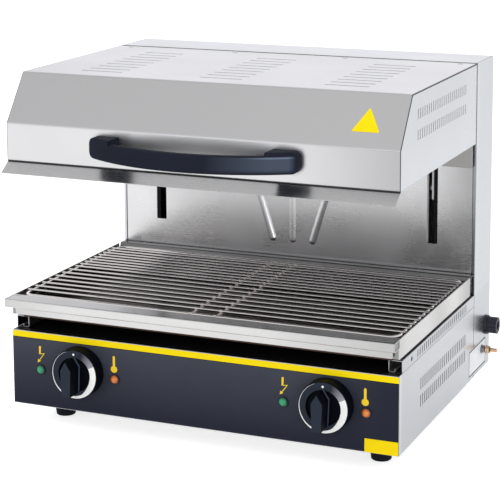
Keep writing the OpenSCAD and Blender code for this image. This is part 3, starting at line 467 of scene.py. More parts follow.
slope = {"y": [(SLOPE_HEAD + 3, SLOPE_HEAD - 1)], "z": [(SLOPE_FOOT - 3, SLOPE_FOOT + 3)]}
cover_ends = area(away=[(HALF_WIDTH - 0.9, HALF_WIDTH - 0.6)])
cover_back = area(y=[(COVER_HIGH.y - 4, COVER_HIGH.y - 3)])
# painted shade on the band, the slope, the top's corner and the cut edges, and painted light on the top
cover_shades = {
    "right end of the band": (area(faces=FRONT, x=[(130, HALF_WIDTH)]), 0.34),
    "left of the slope": (area(x=[(200, -290)], **slope), 0.10),
    "front left corner of the top": (area(faces=TOP, x=[(-150, -290)], y=[(200, 50)]), 0.16),
    "cut edges": (any_of(cover_ends, cover_back), 0.9),
    "painted light on the top": TOP_PAINTED_LIGHT,
}
# painted shade in the groove between the band and the lip
lip_groove_shade = area(z=[(COVER_LOW.z - 3.2, COVER_LOW.z - 2.4)])
# hood sides: painted shade in the slots, and painted light on the lower part
hood_side_shades = {"inside slots": SLOT_PAINTED_SHADE, "paler foot": (area(z=[(440, 385)]), -0.06)}

own_finish["hood_cover"] = steel(
    "cover_steel", (0.80, 0.80, 0.81), roughness=0.33, joints=0.9, edge=ROLLED_EDGE, shades=cover_shades
)
own_finish["hood_lip"] = steel(
    "lip_steel", HOOD_GREY, roughness=0.27, joints=0.9, shades={"groove": (lip_groove_shade, 0.92)}
)
own_finish["hood_rear_plate"] = steel("rear_plate_steel", (0.40, 0.395, 0.39), roughness=0.32)
hood_side_steel = steel("hood_side_steel", SIDE_GREY, ALONG_Y, joints=0.9, shades=hood_side_shades)
own_finish["hood_side_left"] = hood_side_steel
own_finish["hood_side_right"] = hood_side_steel
print("hood cover:", ", ".join(cover_shades))
print("hood sides:", ", ".join(hood_side_shades))

# %% [markdown]
# ## The column
# The column's front plate has painted shade just above the rack and at its right
# edge. Two folded lips guide the hood behind the lift slots, and one face of each
# is painted white over the metal as a stain, a painted highlight. The cap on top
# has painted shade at its cut edges, where it sits in the sheets around it, and
# painted light on its top.

# %% Column steels
COLUMN_LOW, COLUMN_HIGH = limits("column_top")
COLUMN_Y = COLUMN_LOW.y
LIFT_SLOT_FOOT = 207.0
LIP_X = 241.2  # right face of the lip behind the right lift slot
# a painted highlight: one face of each lip is painted white over the metal
LIP_HIGHLIGHT_WHITE = (0.95, 0.95, 0.95)

# painted shade above the rack and at the plate's right edge
plate_shades = {
    "painted shade above the rack": (area(x=[(-285, -120)], z=[(250, 165)]), 0.10),
    "right edge": (area(x=[(235, 290)], z=[(LIFT_SLOT_FOOT - 2, 245)]), 0.35),
}
slot_lip_highlight = area(
    faces=RIGHT_SIDE,
    away=[(LIP_X + 0.3, LIP_X)],
    y=[(COLUMN_Y + 1.5, COLUMN_Y + 1.9)],
    z=[(LIFT_SLOT_FOOT - 1, LIFT_SLOT_FOOT + 1)],
)
# painted shade at the cap's cut edges
cap_ends = area(away=[(COLUMN_HIGH.x - 1.3, COLUMN_HIGH.x - 0.7)])
cap_front = area(y=[(COLUMN_Y + 3.5, COLUMN_Y + 2.5)])
cap_shades = {"cut edges": (any_of(cap_ends, cap_front), 0.85), "painted light on the top": TOP_PAINTED_LIGHT}

own_finish["column_front"] = steel(
    "plate_steel", (0.82, 0.82, 0.83), wipes=0.18, shades=plate_shades,
    stain=(slot_lip_highlight, LIP_HIGHLIGHT_WHITE, OVER_METAL),
)
own_finish["column_top"] = steel("column_top_steel", SHEET_GREY, joints=0.9, shades=cap_shades)
print("column plate:", ", ".join(plate_shades))
print("column cap:", ", ".join(cap_shades))

# %% [markdown]
# ## The base's sides
# A side frame is an L of one sheet: a slotted strip under the tray, and the side
# of the column, with painted shade at the corner where it meets the column's plate
# and a painted paler fold beside it. A lower side closes the base under the strip.
# Both share the grey and the grain of the hood's sides, and each has painted shades
# of its own, in its slots and on its folds. The left and the right one take the
# same material, since an area that holds only on the right says so itself.

# %% Base steels
STRIP_TOP = 132.0  # just above the slotted strip

strip = {"z": [(STRIP_TOP + 1, STRIP_TOP)]}
frame_edge = (COLUMN_Y - 0.6, COLUMN_Y)
right_half = [(0, 10)]
# painted shade in the strip's slots, a little on the strip and at the column's corner; painted light on the
# fold beside it
frame_shades = {
    "inside the strip's slots": (area(away=[(HALF_WIDTH - 0.4, HALF_WIDTH - 0.8)], **strip), 0.9),
    "strip": (area(**strip), 0.06),
    "column's corner": (area(x=right_half, y=[frame_edge, (COLUMN_Y + 4, COLUMN_Y + 2.5)]), 0.5),
    "paler fold": (area(x=right_half, y=[frame_edge, (COLUMN_Y + 16, COLUMN_Y + 11)]), -0.05),
}
# painted shade in the slots, and a painted highlight on the front fold
lower_side_shades = {
    "inside slots": SLOT_PAINTED_SHADE,
    "paler front fold": (area(faces=RIGHT_SIDE, y=[(13, 10)]), -0.16),
}

for sheet, shades in (("lower_side", lower_side_shades), ("side_frame", frame_shades)):
    finish = steel(sheet + "_steel", SIDE_GREY, ALONG_Y, joints=0.9, shades=shades)
    own_finish.update({f"{sheet}_left": finish, f"{sheet}_right": finish})
print("side frames:", ", ".join(frame_shades))
print("lower sides:", ", ".join(lower_side_shades))

# %% [markdown]
# ## The drip tray
# The tray is folded from bright sheet. Its front face has painted shade at both
# ends, and so have its rim under the hood, its rear rim and the face under the
# ledge. Its sides have soft bands of painted shade and painted light. The folded
# strip over the rail has painted shade of its own. Because so many places differ,
# they are a list of their own, and the recipe takes the whole list.

# %% Tray shades
TRAY_FRONT = limits("drip_tray")[0].y
INNER_FACE = (HALF_WIDTH - 1.1, HALF_WIDTH - 1.2)
OUTER_FACE = [(HALF_WIDTH - 1.0, HALF_WIDTH - 0.5)]

gusset = area(away=[INNER_FACE, (297.2, 297.4)], y=[(TRAY_FRONT + 1.2, TRAY_FRONT + 1.5), (1.2, 1.0)])
side_tab = area(away=[INNER_FACE, (285, 286)], y=[(0.3, 0.6), (2.5, 2.3)])
rim_return = area(faces=FRONT, away=[(292.6, 293)], y=[(-5.5, -5), (-2, -2.5)])
front_face = {"faces": FRONT, "y": [(-2, -3)]}
front_rim = {"faces": TOP, "y": [(10, 9)], "z": [(163, 164)]}
# all painted shade, except the paler sides, which are painted light
tray_shades = {
    "folded strip over the rail": (any_of(gusset, side_tab, rim_return), 0.58),
    "right end of the front": (area(x=[(90, 290)], **front_face), 0.26),
    "left end of the front": (area(x=[(-205, -300)], **front_face), 0.17),
    "front rim": (area(**front_rim), 0.25),
    "right of the front rim": (area(x=[(-130, 150)], **front_rim), 0.25),
    "under the ledge": (area(faces=FRONT, y=[(4, 6), (12, 11)]), 0.96),
    "middle of the sides": (area(away=OUTER_FACE, y=[(130, 180)]), 0.15),
    "back of the sides": (area(away=OUTER_FACE, y=[(270, 335)]), 0.33),
    "front of the sides": (area(away=OUTER_FACE, y=[(35, 5)]), 0.12),
    "painted light on the sides": (area(away=OUTER_FACE, y=[(200, 245)]), -0.17),
    "rear rim": (area(y=[(345, 347)]), 0.75),
}
print("tray:", ", ".join(tray_shades))

# %% [markdown]
# ## The browned pan
# The pan's floor is tinted dark brown, a little less on the left. The tint is
# thin, so it is a stain that tints the metal and doesn't hide it.

# %% Tray steel
PAN_FLOOR_BROWN = (0.060, 0.038, 0.030)
PAN_TINT_COVER = 0.97

pan_floor = area(away=[(290.5, 290)], y=[(9, 10)], z=[(157, 155)])
paler_left = area(x=[(90, -120)])


def browned_pan(tree):
    return both(tree, pan_floor(tree), darker(tree, paler_left(tree), 0.13), PAN_TINT_COVER)


finishes["steel_tray"] = steel(
    "steel_tray", (0.78, 0.775, 0.77), roughness=0.28, shades=tray_shades,
    stain=(browned_pan, PAN_FLOOR_BROWN, IN_METAL),
)
print("the stain covers", PAN_TINT_COVER, "of the pan's floor, less on the left")

# %% [markdown]
# ## The wire rack
# The rack is bright plated wire. Its undersides have painted shade, and its colour
# is raised a little, so that only the tops are bright: the height of the smooth
# normal makes the shade. The two long cross wires in the middle have a painted
# white highlight.

# %% Rack steel
CROSS_WIRE_X, WIRE_R = 19.5, 2.0
# painted highlight: the cross wires are painted white
CROSS_WIRE_HIGHLIGHT = (0.64, 0.58, 0.56)
# depth of the painted shade on the wires' undersides
UNDERSIDE_SHADE = 0.891


def underside(tree):
    """Full on faces that look sideways or down, none where they look up by 30 degrees."""
    normal = add_node(tree, "ShaderNodeNewGeometry").outputs["Normal"]
    return ramp(tree, axis_of(tree, normal, "Z"), 0.5, 0.0)


wire_inner, wire_outer = CROSS_WIRE_X - WIRE_R, CROSS_WIRE_X + WIRE_R
cross_wires = area(away=[(wire_inner - 0.5, wire_inner - 0.1), (wire_outer + 0.5, wire_outer + 0.1)])
# the colour is raised by a tenth, a painted light on the wires' tops
finishes["rack_wire"] = steel(
    "rack_wire", (0.99, 0.9515, 0.9295), roughness=0.14, joints=0.8,
    shades={"undersides": (underside, UNDERSIDE_SHADE)}, stain=(cross_wires, CROSS_WIRE_HIGHLIGHT, OVER_METAL),
)
print("cross wires from", wire_inner, "to", wire_outer, "mm beside the middle")

# %% [markdown]
# ## Small metal parts
# The bonding stud is brass with a steel washer and inner nut, and a band of
# painted shade next to its outer nut stands for a turned groove. Screws and lift
# carriages are zinc plated, which is half metal and half white oxide, so its metal
# value is low.

# %% Brass and zinc
NUT_END = limits("bonding_nuts")[1].x
NUT_STEEL = (0.27, 0.27, 0.29)

# painted shade in a band next to the outer nut
groove_shade_band = area(x=[(NUT_END - 1.5, NUT_END - 0.5), (NUT_END + 2, NUT_END + 1)])
inner_nut = area(x=[(HALF_WIDTH - 0.5, HALF_WIDTH), (HALF_WIDTH + 7.5, HALF_WIDTH + 7)])
finishes["brass"] = steel(
    "brass", (0.90, 0.62, 0.38), roughness=0.2,
    shades={"groove": (groove_shade_band, 0.6)}, stain=(inner_nut, NUT_STEEL, IN_METAL),
)
zinc = steel("zinc_plate", (0.88, 0.89, 0.91), ALONG_Z, roughness=0.5, metal=0.4)
own_finish.update({name: zinc for name in ("hood_screws", "lift_carriage_left", "lift_carriage_right")})
print("sheets and parts with their own finish:", ", ".join(own_finish))

# %% [markdown]
# ## Plastic recipe
# The knobs, feet, handle, gland, lamps and inner mouldings share a second recipe:
# the pigment's colour, a fine grit and a low, soft shine. A tint can mix in a
# second colour: an area, or any other mask, and its hue.

# %% Plastic recipe
MOULDED_EDGE = 0.0005


def plastic(
    name, colour, roughness=0.45, grit=1400.0, bump=0.08, shine=0.35, edge=MOULDED_EDGE, tint=None, **more
):
    material, tree, shader = new_material(name, Specular_IOR_Level=shine, **more)
    skin = use_group(tree, skin_tree, Grit=grit)
    joint = use_group(tree, joint_tree, Depth=0.5)
    pigment = toned(tree, colour, skin["Tone"], joint["Tone"])
    if tint:
        mask, hue = tint
        pigment = blend(tree, mask(tree), pigment, hue)
    tree.links.new(pigment, shader.inputs["Base Color"])
    dull = number(tree, "ADD", skin["Roughness"], roughness, clamp=True)
    tree.links.new(dull, shader.inputs["Roughness"])
    relief(tree, shader, edge, skin["Height"], bump)
    return material


finishes.update({
    "black_sheet": plastic("black_sheet", (0.011, 0.011, 0.012), roughness=0.5, shine=0.1),
    "rubber_feet": plastic("rubber_feet", (0.011, 0.013, 0.019), roughness=0.6, shine=0.15),
    "regulator_plastic": plastic("regulator_plastic", (0.16, 0.12, 0.09), roughness=0.5),
    "lamp_plastic": plastic("lamp_plastic", (0.016, 0.018, 0.026), roughness=0.35, shine=0.3),
    "gland_plastic": plastic("gland_plastic", (0.020, 0.024, 0.036), roughness=0.42),
    "terminal_plastic": plastic("terminal_plastic", (0.72, 0.68, 0.56), roughness=0.4),
    "strut_paint": plastic(
        "strut_paint", (0.010, 0.010, 0.012), roughness=0.25, grit=300.0, bump=0.02, shine=0.5
    ),
    "nylon": plastic("nylon", (0.010, 0.010, 0.011), shine=0.2),
})
print(len(finishes), "finishes so far")

# %% [markdown]
# ## The handle
# A painted sheen makes the handle paler near its right end, most on the ridge. A
# lamp could draw that sheen, but it would also light everything around it, so
# the sheen is a tint of the plastic on the faces that look forward.

# %% Handle plastic
HANDLE_FRONT = ("Y", -1, 0.7)  # faces within 45 degrees of the front
HANDLE_RIDGE = 407.0  # height of the ridge along its front
HANDLE_SHEEN, FACE_SHARE = (0.145, 0.180, 0.255), 0.40

# painted sheen on the forward faces and a painted highlight along the ridge
sheened = [(40, 125), (156, 148)]
below_ridge = (HANDLE_RIDGE + 1.5, HANDLE_RIDGE)
face_sheen = area(faces=HANDLE_FRONT, x=sheened, z=[(385, 391), below_ridge])
ridge_highlight = area(
    faces=HANDLE_FRONT, x=[*sheened, (70, 120)], z=[(HANDLE_RIDGE - 3, HANDLE_RIDGE - 1), below_ridge]
)
finishes["handle_plastic"] = plastic(
    "handle_plastic", (0.016, 0.019, 0.030), shine=0.02, edge=ROLLED_EDGE,
    tint=(any_of(part_of(face_sheen, FACE_SHARE), ridge_highlight), HANDLE_SHEEN),
)
print("handle is polished from", sheened[0][0], "to", sheened[1][0], "mm right of the middle")

# %% [markdown]
# ## The knobs
# A knob is a flat skirt with a grip across it. The flat front of the skirt is
# painted paler than its side, a painted light, and a painted highlight lies at the
# root of the grip, where the moulding turns. The record says where each knob's
# axis is, so the highlight finds the grips by their distance from the nearer axis.

# %% Knob plastic
joints = {joint["name"]: joint for joint in frame["record"]["behaviour"]["joints"]}
KNOBS = {side: in_casing(joints[f"knob_{side}_turn"]["pos_m"]) for side in ("left", "right")}
KNOB_HIGH = limits("knob_left")[1]
KNOB_R = KNOB_HIGH.x - KNOBS["left"].x
KNOB_SKIRT = 21.0
KNOB_FACE = KNOB_HIGH.y - KNOB_SKIRT
GRIP_EDGE = 9.0  # a little more than half the grip's width
GRIP_RIGHT = ("X", 1, 0.3)  # faces that lean to the right
KNOB_SHEEN, SKIRT_SHARE = (0.075, 0.095, 0.135), 0.36

# painted light on the skirt's front, and a painted highlight at the grip's root
skirt_front_light = area(faces=FRONT, y=[(KNOB_FACE + 1.5, KNOB_FACE + 0.5)])
grip_root = area(faces=GRIP_RIGHT, y=[(KNOB_FACE - 1.6, KNOB_FACE - 0.8)])


def within_grips(tree):
    """Full at less than the grip's edge from either knob's axis."""
    across = axis_of(tree, spot(tree), "X")
    offsets = [number(tree, "SUBTRACT", across, casing(*axis).x) for axis in KNOBS.values()]
    nearest = number(tree, "MINIMUM", *[number(tree, "ABSOLUTE", offset) for offset in offsets])
    return ramp(tree, nearest, (GRIP_EDGE + 0.3) / 1000.0, GRIP_EDGE / 1000.0)


def grip_root_highlight(tree):
    return both(tree, within_grips(tree), grip_root(tree))


finishes["knob_plastic"] = plastic(
    "knob_plastic", (0.0025, 0.0035, 0.007), roughness=0.5, shine=0.04, edge=0.0008,
    tint=(any_of(part_of(skirt_front_light, SKIRT_SHARE), grip_root_highlight), KNOB_SHEEN),
)
print("knobs of", KNOB_R, "mm radius, axes at", {side: (axis.x, axis.z) for side, axis in KNOBS.items()})

# %% [markdown]
# ## The lamps
# Each indicator is a small domed lens in a black bezel, green for mains power and
# amber for heating. A lens has painted shade towards its rim, so the tint grows
# with the distance from the nearest lamp's axis. A thin clear coat gives the hard
# shine of the lens.

# %% Lens plastics
BEZEL_R = 6.3
LENS_PALE, LENS_RIM = 0.003, 0.0065  # metres from the axis
lamp_boxes = {"green": limits("power_lamps"), "amber": limits("heating_lamps")}
LAMPS = {
    hue: (round(low.x + BEZEL_R, 1), round(high.x - BEZEL_R, 1)) for hue, (low, high) in lamp_boxes.items()
}
LAMP_Z = (lamp_boxes["green"][0].z + lamp_boxes["green"][1].z) / 2


def lens_rim_shade(places):
    """A mask for round lenses: 0 in the middle, 1 at the rim."""

    def mask(tree):
        nearest = 1.0  # metres, farther than any lens
        for x in places:
            centre = casing(x, 0, LAMP_Z)
            offset = add_node(tree, "ShaderNodeVectorMath", {0: spot(tree), 1: centre}, operation="SUBTRACT")
            flat = add_node(
                tree, "ShaderNodeVectorMath", {0: offset.outputs[0], 1: (1, 0, 1)}, operation="MULTIPLY"
            )
            away = add_node(tree, "ShaderNodeVectorMath", {0: flat.outputs[0]}, operation="LENGTH")
            nearest = number(tree, "MINIMUM", nearest, away.outputs["Value"])
        return ramp(tree, nearest, LENS_PALE, LENS_RIM)

    return mask


# each lens: its own colour in the middle, and painted shade towards the rim
for hue, middle, rim in (
    ("green", (0.003, 0.36, 0.16), (0.001, 0.09, 0.04)),
    ("amber", (0.82, 0.24, 0.030), (0.24, 0.035, 0.008)),
):
    finishes[f"{hue}_lens"] = plastic(
        f"{hue}_lens", middle, roughness=0.2, grit=500.0, bump=0.02, shine=0.4,
        tint=(lens_rim_shade(LAMPS[hue]), rim), Coat_Weight=0.6,
    )
print("lamps at", LAMPS, "mm, height", LAMP_Z, "mm")

# %% [markdown]
# ## Mineral wool
# A mat of rock fibres lies on the reflector, and shows only through the hood's
# slots. Its dark colour is partly its own and partly painted shade for the slots.
# Tangled noise in two scales gives its strands and its lumps.

# %% Wool
STRAND_SCALE, LUMP_SCALE, CONTRAST = 420.0, 30.0, 2.4
WOOL_DARK, WOOL_PALE = (0.05, 0.045, 0.04, 1), (0.24, 0.22, 0.19, 1)

wool, tree, shader = new_material("insulation_wool", Sheen_Weight=0.3, Roughness=0.95)
place = spot(tree)
strands = add_node(
    tree, "ShaderNodeTexNoise", {"Vector": place, "Scale": STRAND_SCALE, "Detail": 5.0, "Distortion": 2.5}
).outputs["Fac"]
lumps = add_node(tree, "ShaderNodeTexNoise", {"Vector": place, "Scale": LUMP_SCALE, "Detail": 2.0})
tangle = number(tree, "MULTIPLY", strands, lumps.outputs["Fac"])
wool_tones = add_node(tree, "ShaderNodeValToRGB", {"Fac": number(tree, "MULTIPLY", tangle, CONTRAST)})
wool_tones.color_ramp.elements[0].color = WOOL_DARK
wool_tones.color_ramp.elements[1].color = WOOL_PALE
tree.links.new(wool_tones.outputs[0], shader.inputs["Base Color"])
fuzz = add_node(tree, "ShaderNodeBump", {"Height": strands, "Strength": 0.6, "Distance": 0.001})
tree.links.new(fuzz.outputs[0], shader.inputs["Normal"])
finishes["insulation_wool"] = wool
print("wool strands at scale", STRAND_SCALE, "and lumps at scale", LUMP_SCALE)

# %% [markdown]
# ## The control panel's film
# The panel is a bent steel sheet with a slate film on its face and a yellow band
# under its upper edge. Only the flat face is printed. So a mask from the face's
# normal keeps the film off the bends and flanges, and the height above the
# ground places the yellow band. Colour, metal and shine all follow these masks.
# The slate is paler towards the band, a painted sheen, except near the right end,
# and the bare steel behind the upper bend has painted shade.

# %% Panel film
BAND_WIDTH = 9.0
BAND_TOP = PANEL_HIGH.z - 0.8
BAND_LOW = BAND_TOP - BAND_WIDTH
BAND_YELLOW = (1.0, 0.77, 0.0)
SLATE_LOW, SLATE_HIGH = (0.013, 0.016, 0.031), (0.053, 0.059, 0.080)
BARE_STEEL = (0.78, 0.78, 0.80)
FILM_ROUGHNESS, FILM_BUMP, FILM_GRIT = 0.42, 0.04, 0.0001
# the depth below is also that of the painted shade on the upper bend
LINE_AND_BEND_SHADE = 0.85  # depth of the line under the band and of the upper bend

film, tree, shader = new_material("panel_film", Specular_IOR_Level=0.15)
printed = facing(tree, *FRONT)
height = axis_of(tree, spot(tree), "Z")
above = number(tree, "GREATER_THAN", height, casing(0, 0, BAND_LOW).z)
below = number(tree, "LESS_THAN", height, casing(0, 0, BAND_TOP).z)
# painted sheen: the slate is paler towards the band
lighter = both(tree, rising(tree, "Z", 0, BAND_LOW), darker(tree, rising(tree, "X", 170, 280), 0.9))
slate = blend(tree, lighter, SLATE_LOW, SLATE_HIGH)
skin = use_group(tree, skin_tree, Grit=2600.0, Handling=0.2)
border = darker(tree, rising(tree, "Z", BAND_LOW - 1.2, BAND_LOW - 0.6), LINE_AND_BEND_SHADE)
print_colour = blend(tree, both(tree, above, below), toned(tree, slate, skin["Tone"], border), BAND_YELLOW)
bare = use_group(tree, grain_tree, Stretch=ALONG_X)
# painted shade on the bare steel behind the upper bend
top_bend_shade = darker(tree, rising(tree, "Y", 0.7, 1.3), LINE_AND_BEND_SHADE)
face = blend(tree, printed, toned(tree, BARE_STEEL, bare["Tone"], top_bend_shade), print_colour)
tree.links.new(face, shader.inputs["Base Color"])
tree.links.new(number(tree, "SUBTRACT", 1.0, printed), shader.inputs["Metallic"])
tree.links.new(number(tree, "ADD", skin["Roughness"], FILM_ROUGHNESS), shader.inputs["Roughness"])
relief(tree, shader, MOULDED_EDGE, skin["Height"], FILM_BUMP, FILM_GRIT)
finishes["panel_film"] = film
print("yellow band from", round(BAND_LOW, 1), "to", round(BAND_TOP, 1), "mm above the panel's lower edge")

# %% [markdown]
# ## Dress the CAD nodes
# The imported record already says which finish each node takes. So the materials
# are handed out from that list, and only the sheets and parts that got a finish
# of their own above take those instead.

# %% Hand out the finishes
slot_of = {part["node"]: part["material_slot"] for part in frame["record"]["subparts"]}
for name, obj in nodes.items():
    obj.data.materials.clear()
    obj.data.materials.append(own_finish.get(name, finishes[slot_of[name]]))
used = {obj.data.materials[0].name for obj in nodes.values()}
print("dressed", len(nodes), "nodes with", len(used), "materials")

# %% [markdown]
# ## Thin prints and plates
# Signs, knob marks and plates are a tenth to a third of a millimetre thick. A
# flat outline could simply hover over the sheet, but a closed solid of the real
# thickness keeps its own edge light. One function fills an outline, gives it its
# thickness, and stands it on a face with its own right and up directions. Filling
# and extruding list the corners in any order, so a second one puts them in order.

# %% Print helper
RIGHT, UP, BACK = (1, 0, 0), (0, 0, 1), (0, 1, 0)
INK = 0.12  # thickness of a print in millimetres


def ordered_mesh(name, work):
    """A mesh with its corners and faces in the same order in every run."""
    work.verts.index_update()
    corners = sorted(work.verts, key=lambda corner: corner.co[:])
    rank = {corner.index: i for i, corner in enumerate(corners)}
    rings = [[rank[corner.index] for corner in face.verts] for face in work.faces]
    starts = [ring.index(min(ring)) for ring in rings]
    faces = sorted(ring[start:] + ring[:start] for ring, start in zip(rings, starts))
    mesh = bpy.data.meshes.new(name)
    mesh.from_pydata([corner.co[:] for corner in corners], [], faces)
    return mesh


def print_piece(name, outline, origin, right, up, thickness, material, body, holes=()):
    """A flat piece from an outline in millimetres, standing out from a face by its thickness."""
    right, up = Vector(right), Vector(up)
    out = right.cross(up).normalized()
    work = bmesh.new()
    edges = []
    for ring in (outline, *holes):
        verts = [work.verts.new(Vector(origin) + (right * a + up * b) / 1000.0) for a, b in ring]
        edges += [work.edges.new(pair) for pair in zip(verts, verts[1:] + verts[:1])]
    bmesh.ops.triangle_fill(work, edges=edges, use_beauty=True)
    bmesh.ops.recalc_face_normals(work, faces=work.faces)
    if work.faces[:] and work.faces[0].normal.dot(out) < 0:
        bmesh.ops.reverse_faces(work, faces=work.faces)
    lifted = bmesh.ops.extrude_face_region(work, geom=work.faces[:])
    moved = [item for item in lifted["geom"] if isinstance(item, bmesh.types.BMVert)]
    bmesh.ops.translate(work, verts=moved, vec=out * thickness / 1000.0)
    bmesh.ops.recalc_face_normals(work, faces=work.faces)
    mesh = ordered_mesh(name, work)
    work.free()
    mesh.materials.append(material)
    piece = bpy.data.objects.new(name, mesh)
    bpy.context.scene.collection.objects.link(piece)
    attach(piece, body)
    return piece


print("an ink print is", INK, "mm thick")

# %% [markdown]
# ## Outlines
# Every outline below is a list of points in millimetres. Its straight stretches
# need only their corners, and its round ones are arcs, which a few short
# functions work out, so that no list of points has to be typed in.


# %% Outlines
def polar(radius, degrees, centre=(0.0, 0.0)):
    turn = math.radians(degrees)
    return centre[0] + radius * math.cos(turn), centre[1] + radius * math.sin(turn)


def arc(radius, start, end, steps, centre=(0.0, 0.0)):
    return [polar(radius, start + (end - start) * i / steps, centre) for i in range(steps + 1)]


def rounded(width, height, radius):
    """A rectangle from the origin to its width and height, with round corners."""
    right, top = width - radius, height - radius
    corners = [(right, top, 0), (radius, top, 90), (radius, radius, 180), (right, radius, 270)]
    return [point for x, y, start in corners for point in arc(radius, start, start + 90, 6, (x, y))]


sign_yellow = plastic("sign_yellow", (0.98, 0.66, 0.02), grit=900.0, bump=0.03)
mark_white = plastic("mark_white", (1.0, 1.0, 1.0), roughness=0.4, grit=900.0, bump=0.03)
print("prints:", sign_yellow.name, mark_white.name)

# %% [markdown]
# ## Signs beside the lamps
# Two common signs tell the cook what the lamps mean: a bolt for mains power and a
# thermometer for heating. Both are plain outlines, so a list of corner points is
# enough, with arcs for the thermometer's bulb and tip.

# %% Bolt and thermometer signs
BOLT = [
    (2.8, 25.4), (6.0, 25.6), (5.6, 14.4), (12.3, 15.2), (4.0, 3.7), (5.3, 2.7),
    (0, 0), (0.8, 5.8), (2.7, 4.5), (9.8, 13.7), (2.6, 13.2),
]
BULB_R, STEM_R, STEM_TOP = 5.2, 1.9, 18.2
BOLT_Z, BULB_Z = LAMP_Z + 10.0, LAMP_Z + 14.7  # heights of the bolt's tip and the bulb's middle
stem_turn = math.degrees(math.asin(STEM_R / BULB_R))
bulb = arc(BULB_R, 90 - stem_turn, stem_turn - 270, 28)
THERMOMETER = bulb + arc(STEM_R, 180, 0, 6, (0.0, STEM_TOP))
SIGNS = {
    "bolt_sign_left": (BOLT, -259.0, BOLT_Z),
    "bolt_sign_right": (BOLT, 126.2, BOLT_Z),
    "thermometer_sign_left": (THERMOMETER, -132.6, BULB_Z),
    "thermometer_sign_right": (THERMOMETER, 251.8, BULB_Z),
}
for name, (outline, x, z) in SIGNS.items():
    print_piece(name, outline, casing(x, 0, z), RIGHT, UP, INK, sign_yellow, "base")
print("bolt has", len(BOLT), "corners, thermometer", len(THERMOMETER))

# %% [markdown]
# ## Marks on the knobs
# A dot shows "off". From there a white crescent runs anticlockwise around the
# skirt and grows as the heat does, until a grey shade closes the ring, partly print
# and partly a painted sheen. Crescent and shade are bands between two radii. The
# outer one stays and the inner one changes with the angle, so a short list of
# angles and radii holds the shape.

# %% Crescent outline
MARK_R = KNOB_R - 1.5  # inside the skirt's round edge
CRESCENT = [
    (111, 35.25), (150, 34.9), (180, 34.5), (225, 33.7), (260, 32.6),
    (292, 30.9), (308, 28.4), (324, 26.7), (345, 25.9), (386, 25.8),
]
CRESCENT_START, CRESCENT_END, FADE_END = CRESCENT[0][0], CRESCENT[-1][0], 428


def between(points, angle):
    """The radius at an angle, from a list of angles and radii, and the last one beyond its end."""
    for (a0, r0), (a1, r1) in zip(points, points[1:]):
        if angle <= a1:
            return r0 + (r1 - r0) * (angle - a0) / (a1 - a0)
    return points[-1][1]


def ring_band(start, end, inner, outer, step=3):
    """An outline with a point every few degrees, between a list of inner radii and one outer radius."""
    count = round((end - start) / step)
    angles = [start + (end - start) * i / count for i in range(count + 1)]
    edge = [polar(outer, a) for a in angles]
    return edge + [polar(between(inner, a), a) for a in reversed(angles)]


print("degrees: crescent", CRESCENT_END - CRESCENT_START, "and shade", FADE_END - CRESCENT_END)

# %% [markdown]
# ## Fading ink
# The shade at the crescent's end, partly print and partly a painted sheen, goes
# from grey to the knob's black. An area can't follow a ring, so each vertex of the
# printed piece stores its own share of the way along it, and the material turns
# that share into a grey.

# %% Fading ink
# the pale end is partly print and partly painted sheen
FADE_PALE, FADE_DARK = (0.37, 0.38, 0.44, 1), (0.012, 0.014, 0.022, 1)

fade, tree, shader = new_material("crescent_fade", Specular_IOR_Level=0.3, Roughness=0.4)
share = add_node(tree, "ShaderNodeAttribute", attribute_name="share").outputs["Fac"]
fade_tones = add_node(tree, "ShaderNodeValToRGB", {"Fac": share})
fade_tones.color_ramp.elements[0].color = FADE_PALE
fade_tones.color_ramp.elements[1].color = FADE_DARK
tree.links.new(fade_tones.outputs[0], shader.inputs["Base Color"])


def store_shares(piece, axis):
    """Keeps at each vertex how far it is along the fade, for the material to read."""
    centre = casing(axis.x, KNOB_FACE, axis.z)
    shares = piece.data.attributes.new("share", "FLOAT", "POINT")
    for vertex, item in zip(piece.data.vertices, shares.data):
        around = math.degrees(math.atan2(vertex.co.z - centre.z, vertex.co.x - centre.x))
        item.value = (around + 360 - CRESCENT_END) / (FADE_END - CRESCENT_END)


print("ink fades from", FADE_PALE[:3], "to", FADE_DARK[:3])

# %% [markdown]
# ## Printing the knobs
# The same three marks go on both knobs. Each lies on the flat front of the skirt,
# around the knob's own axis, and rides on the knob, so that it turns with it.

# %% Knob marks
FADE_INK = 0.10
DOT_R, DOT_CENTRE = 1.7, (-0.4, 30.2)


def print_mark(side, mark, outline, thickness, material):
    axis = KNOBS[side]
    return print_piece(
        f"knob_{side}_{mark}", outline, casing(axis.x, KNOB_FACE, axis.z), RIGHT, UP, thickness, material,
        f"knob_{side}",
    )


for side, axis in KNOBS.items():
    print_mark(side, "dot", arc(DOT_R, 0, 360, 24, DOT_CENTRE)[:-1], INK, mark_white)
    print_mark(side, "crescent", ring_band(CRESCENT_START, CRESCENT_END, CRESCENT, MARK_R), INK, mark_white)
    faded = ring_band(CRESCENT_END, FADE_END, CRESCENT, MARK_R)
    store_shares(print_mark(side, "fade", faded, FADE_INK, fade), axis)
print("dot, crescent and shade are on", len(KNOBS), "knobs")

# %% [markdown]
# ## Plates
# A yellow plate fills the panel's lower right corner, a pale plate with a thin
# dark frame lies on the right side at the back. Both stay blank. The frame is a
# second, thinner print with a hole, because four separate bars would show seams
# at its corners.

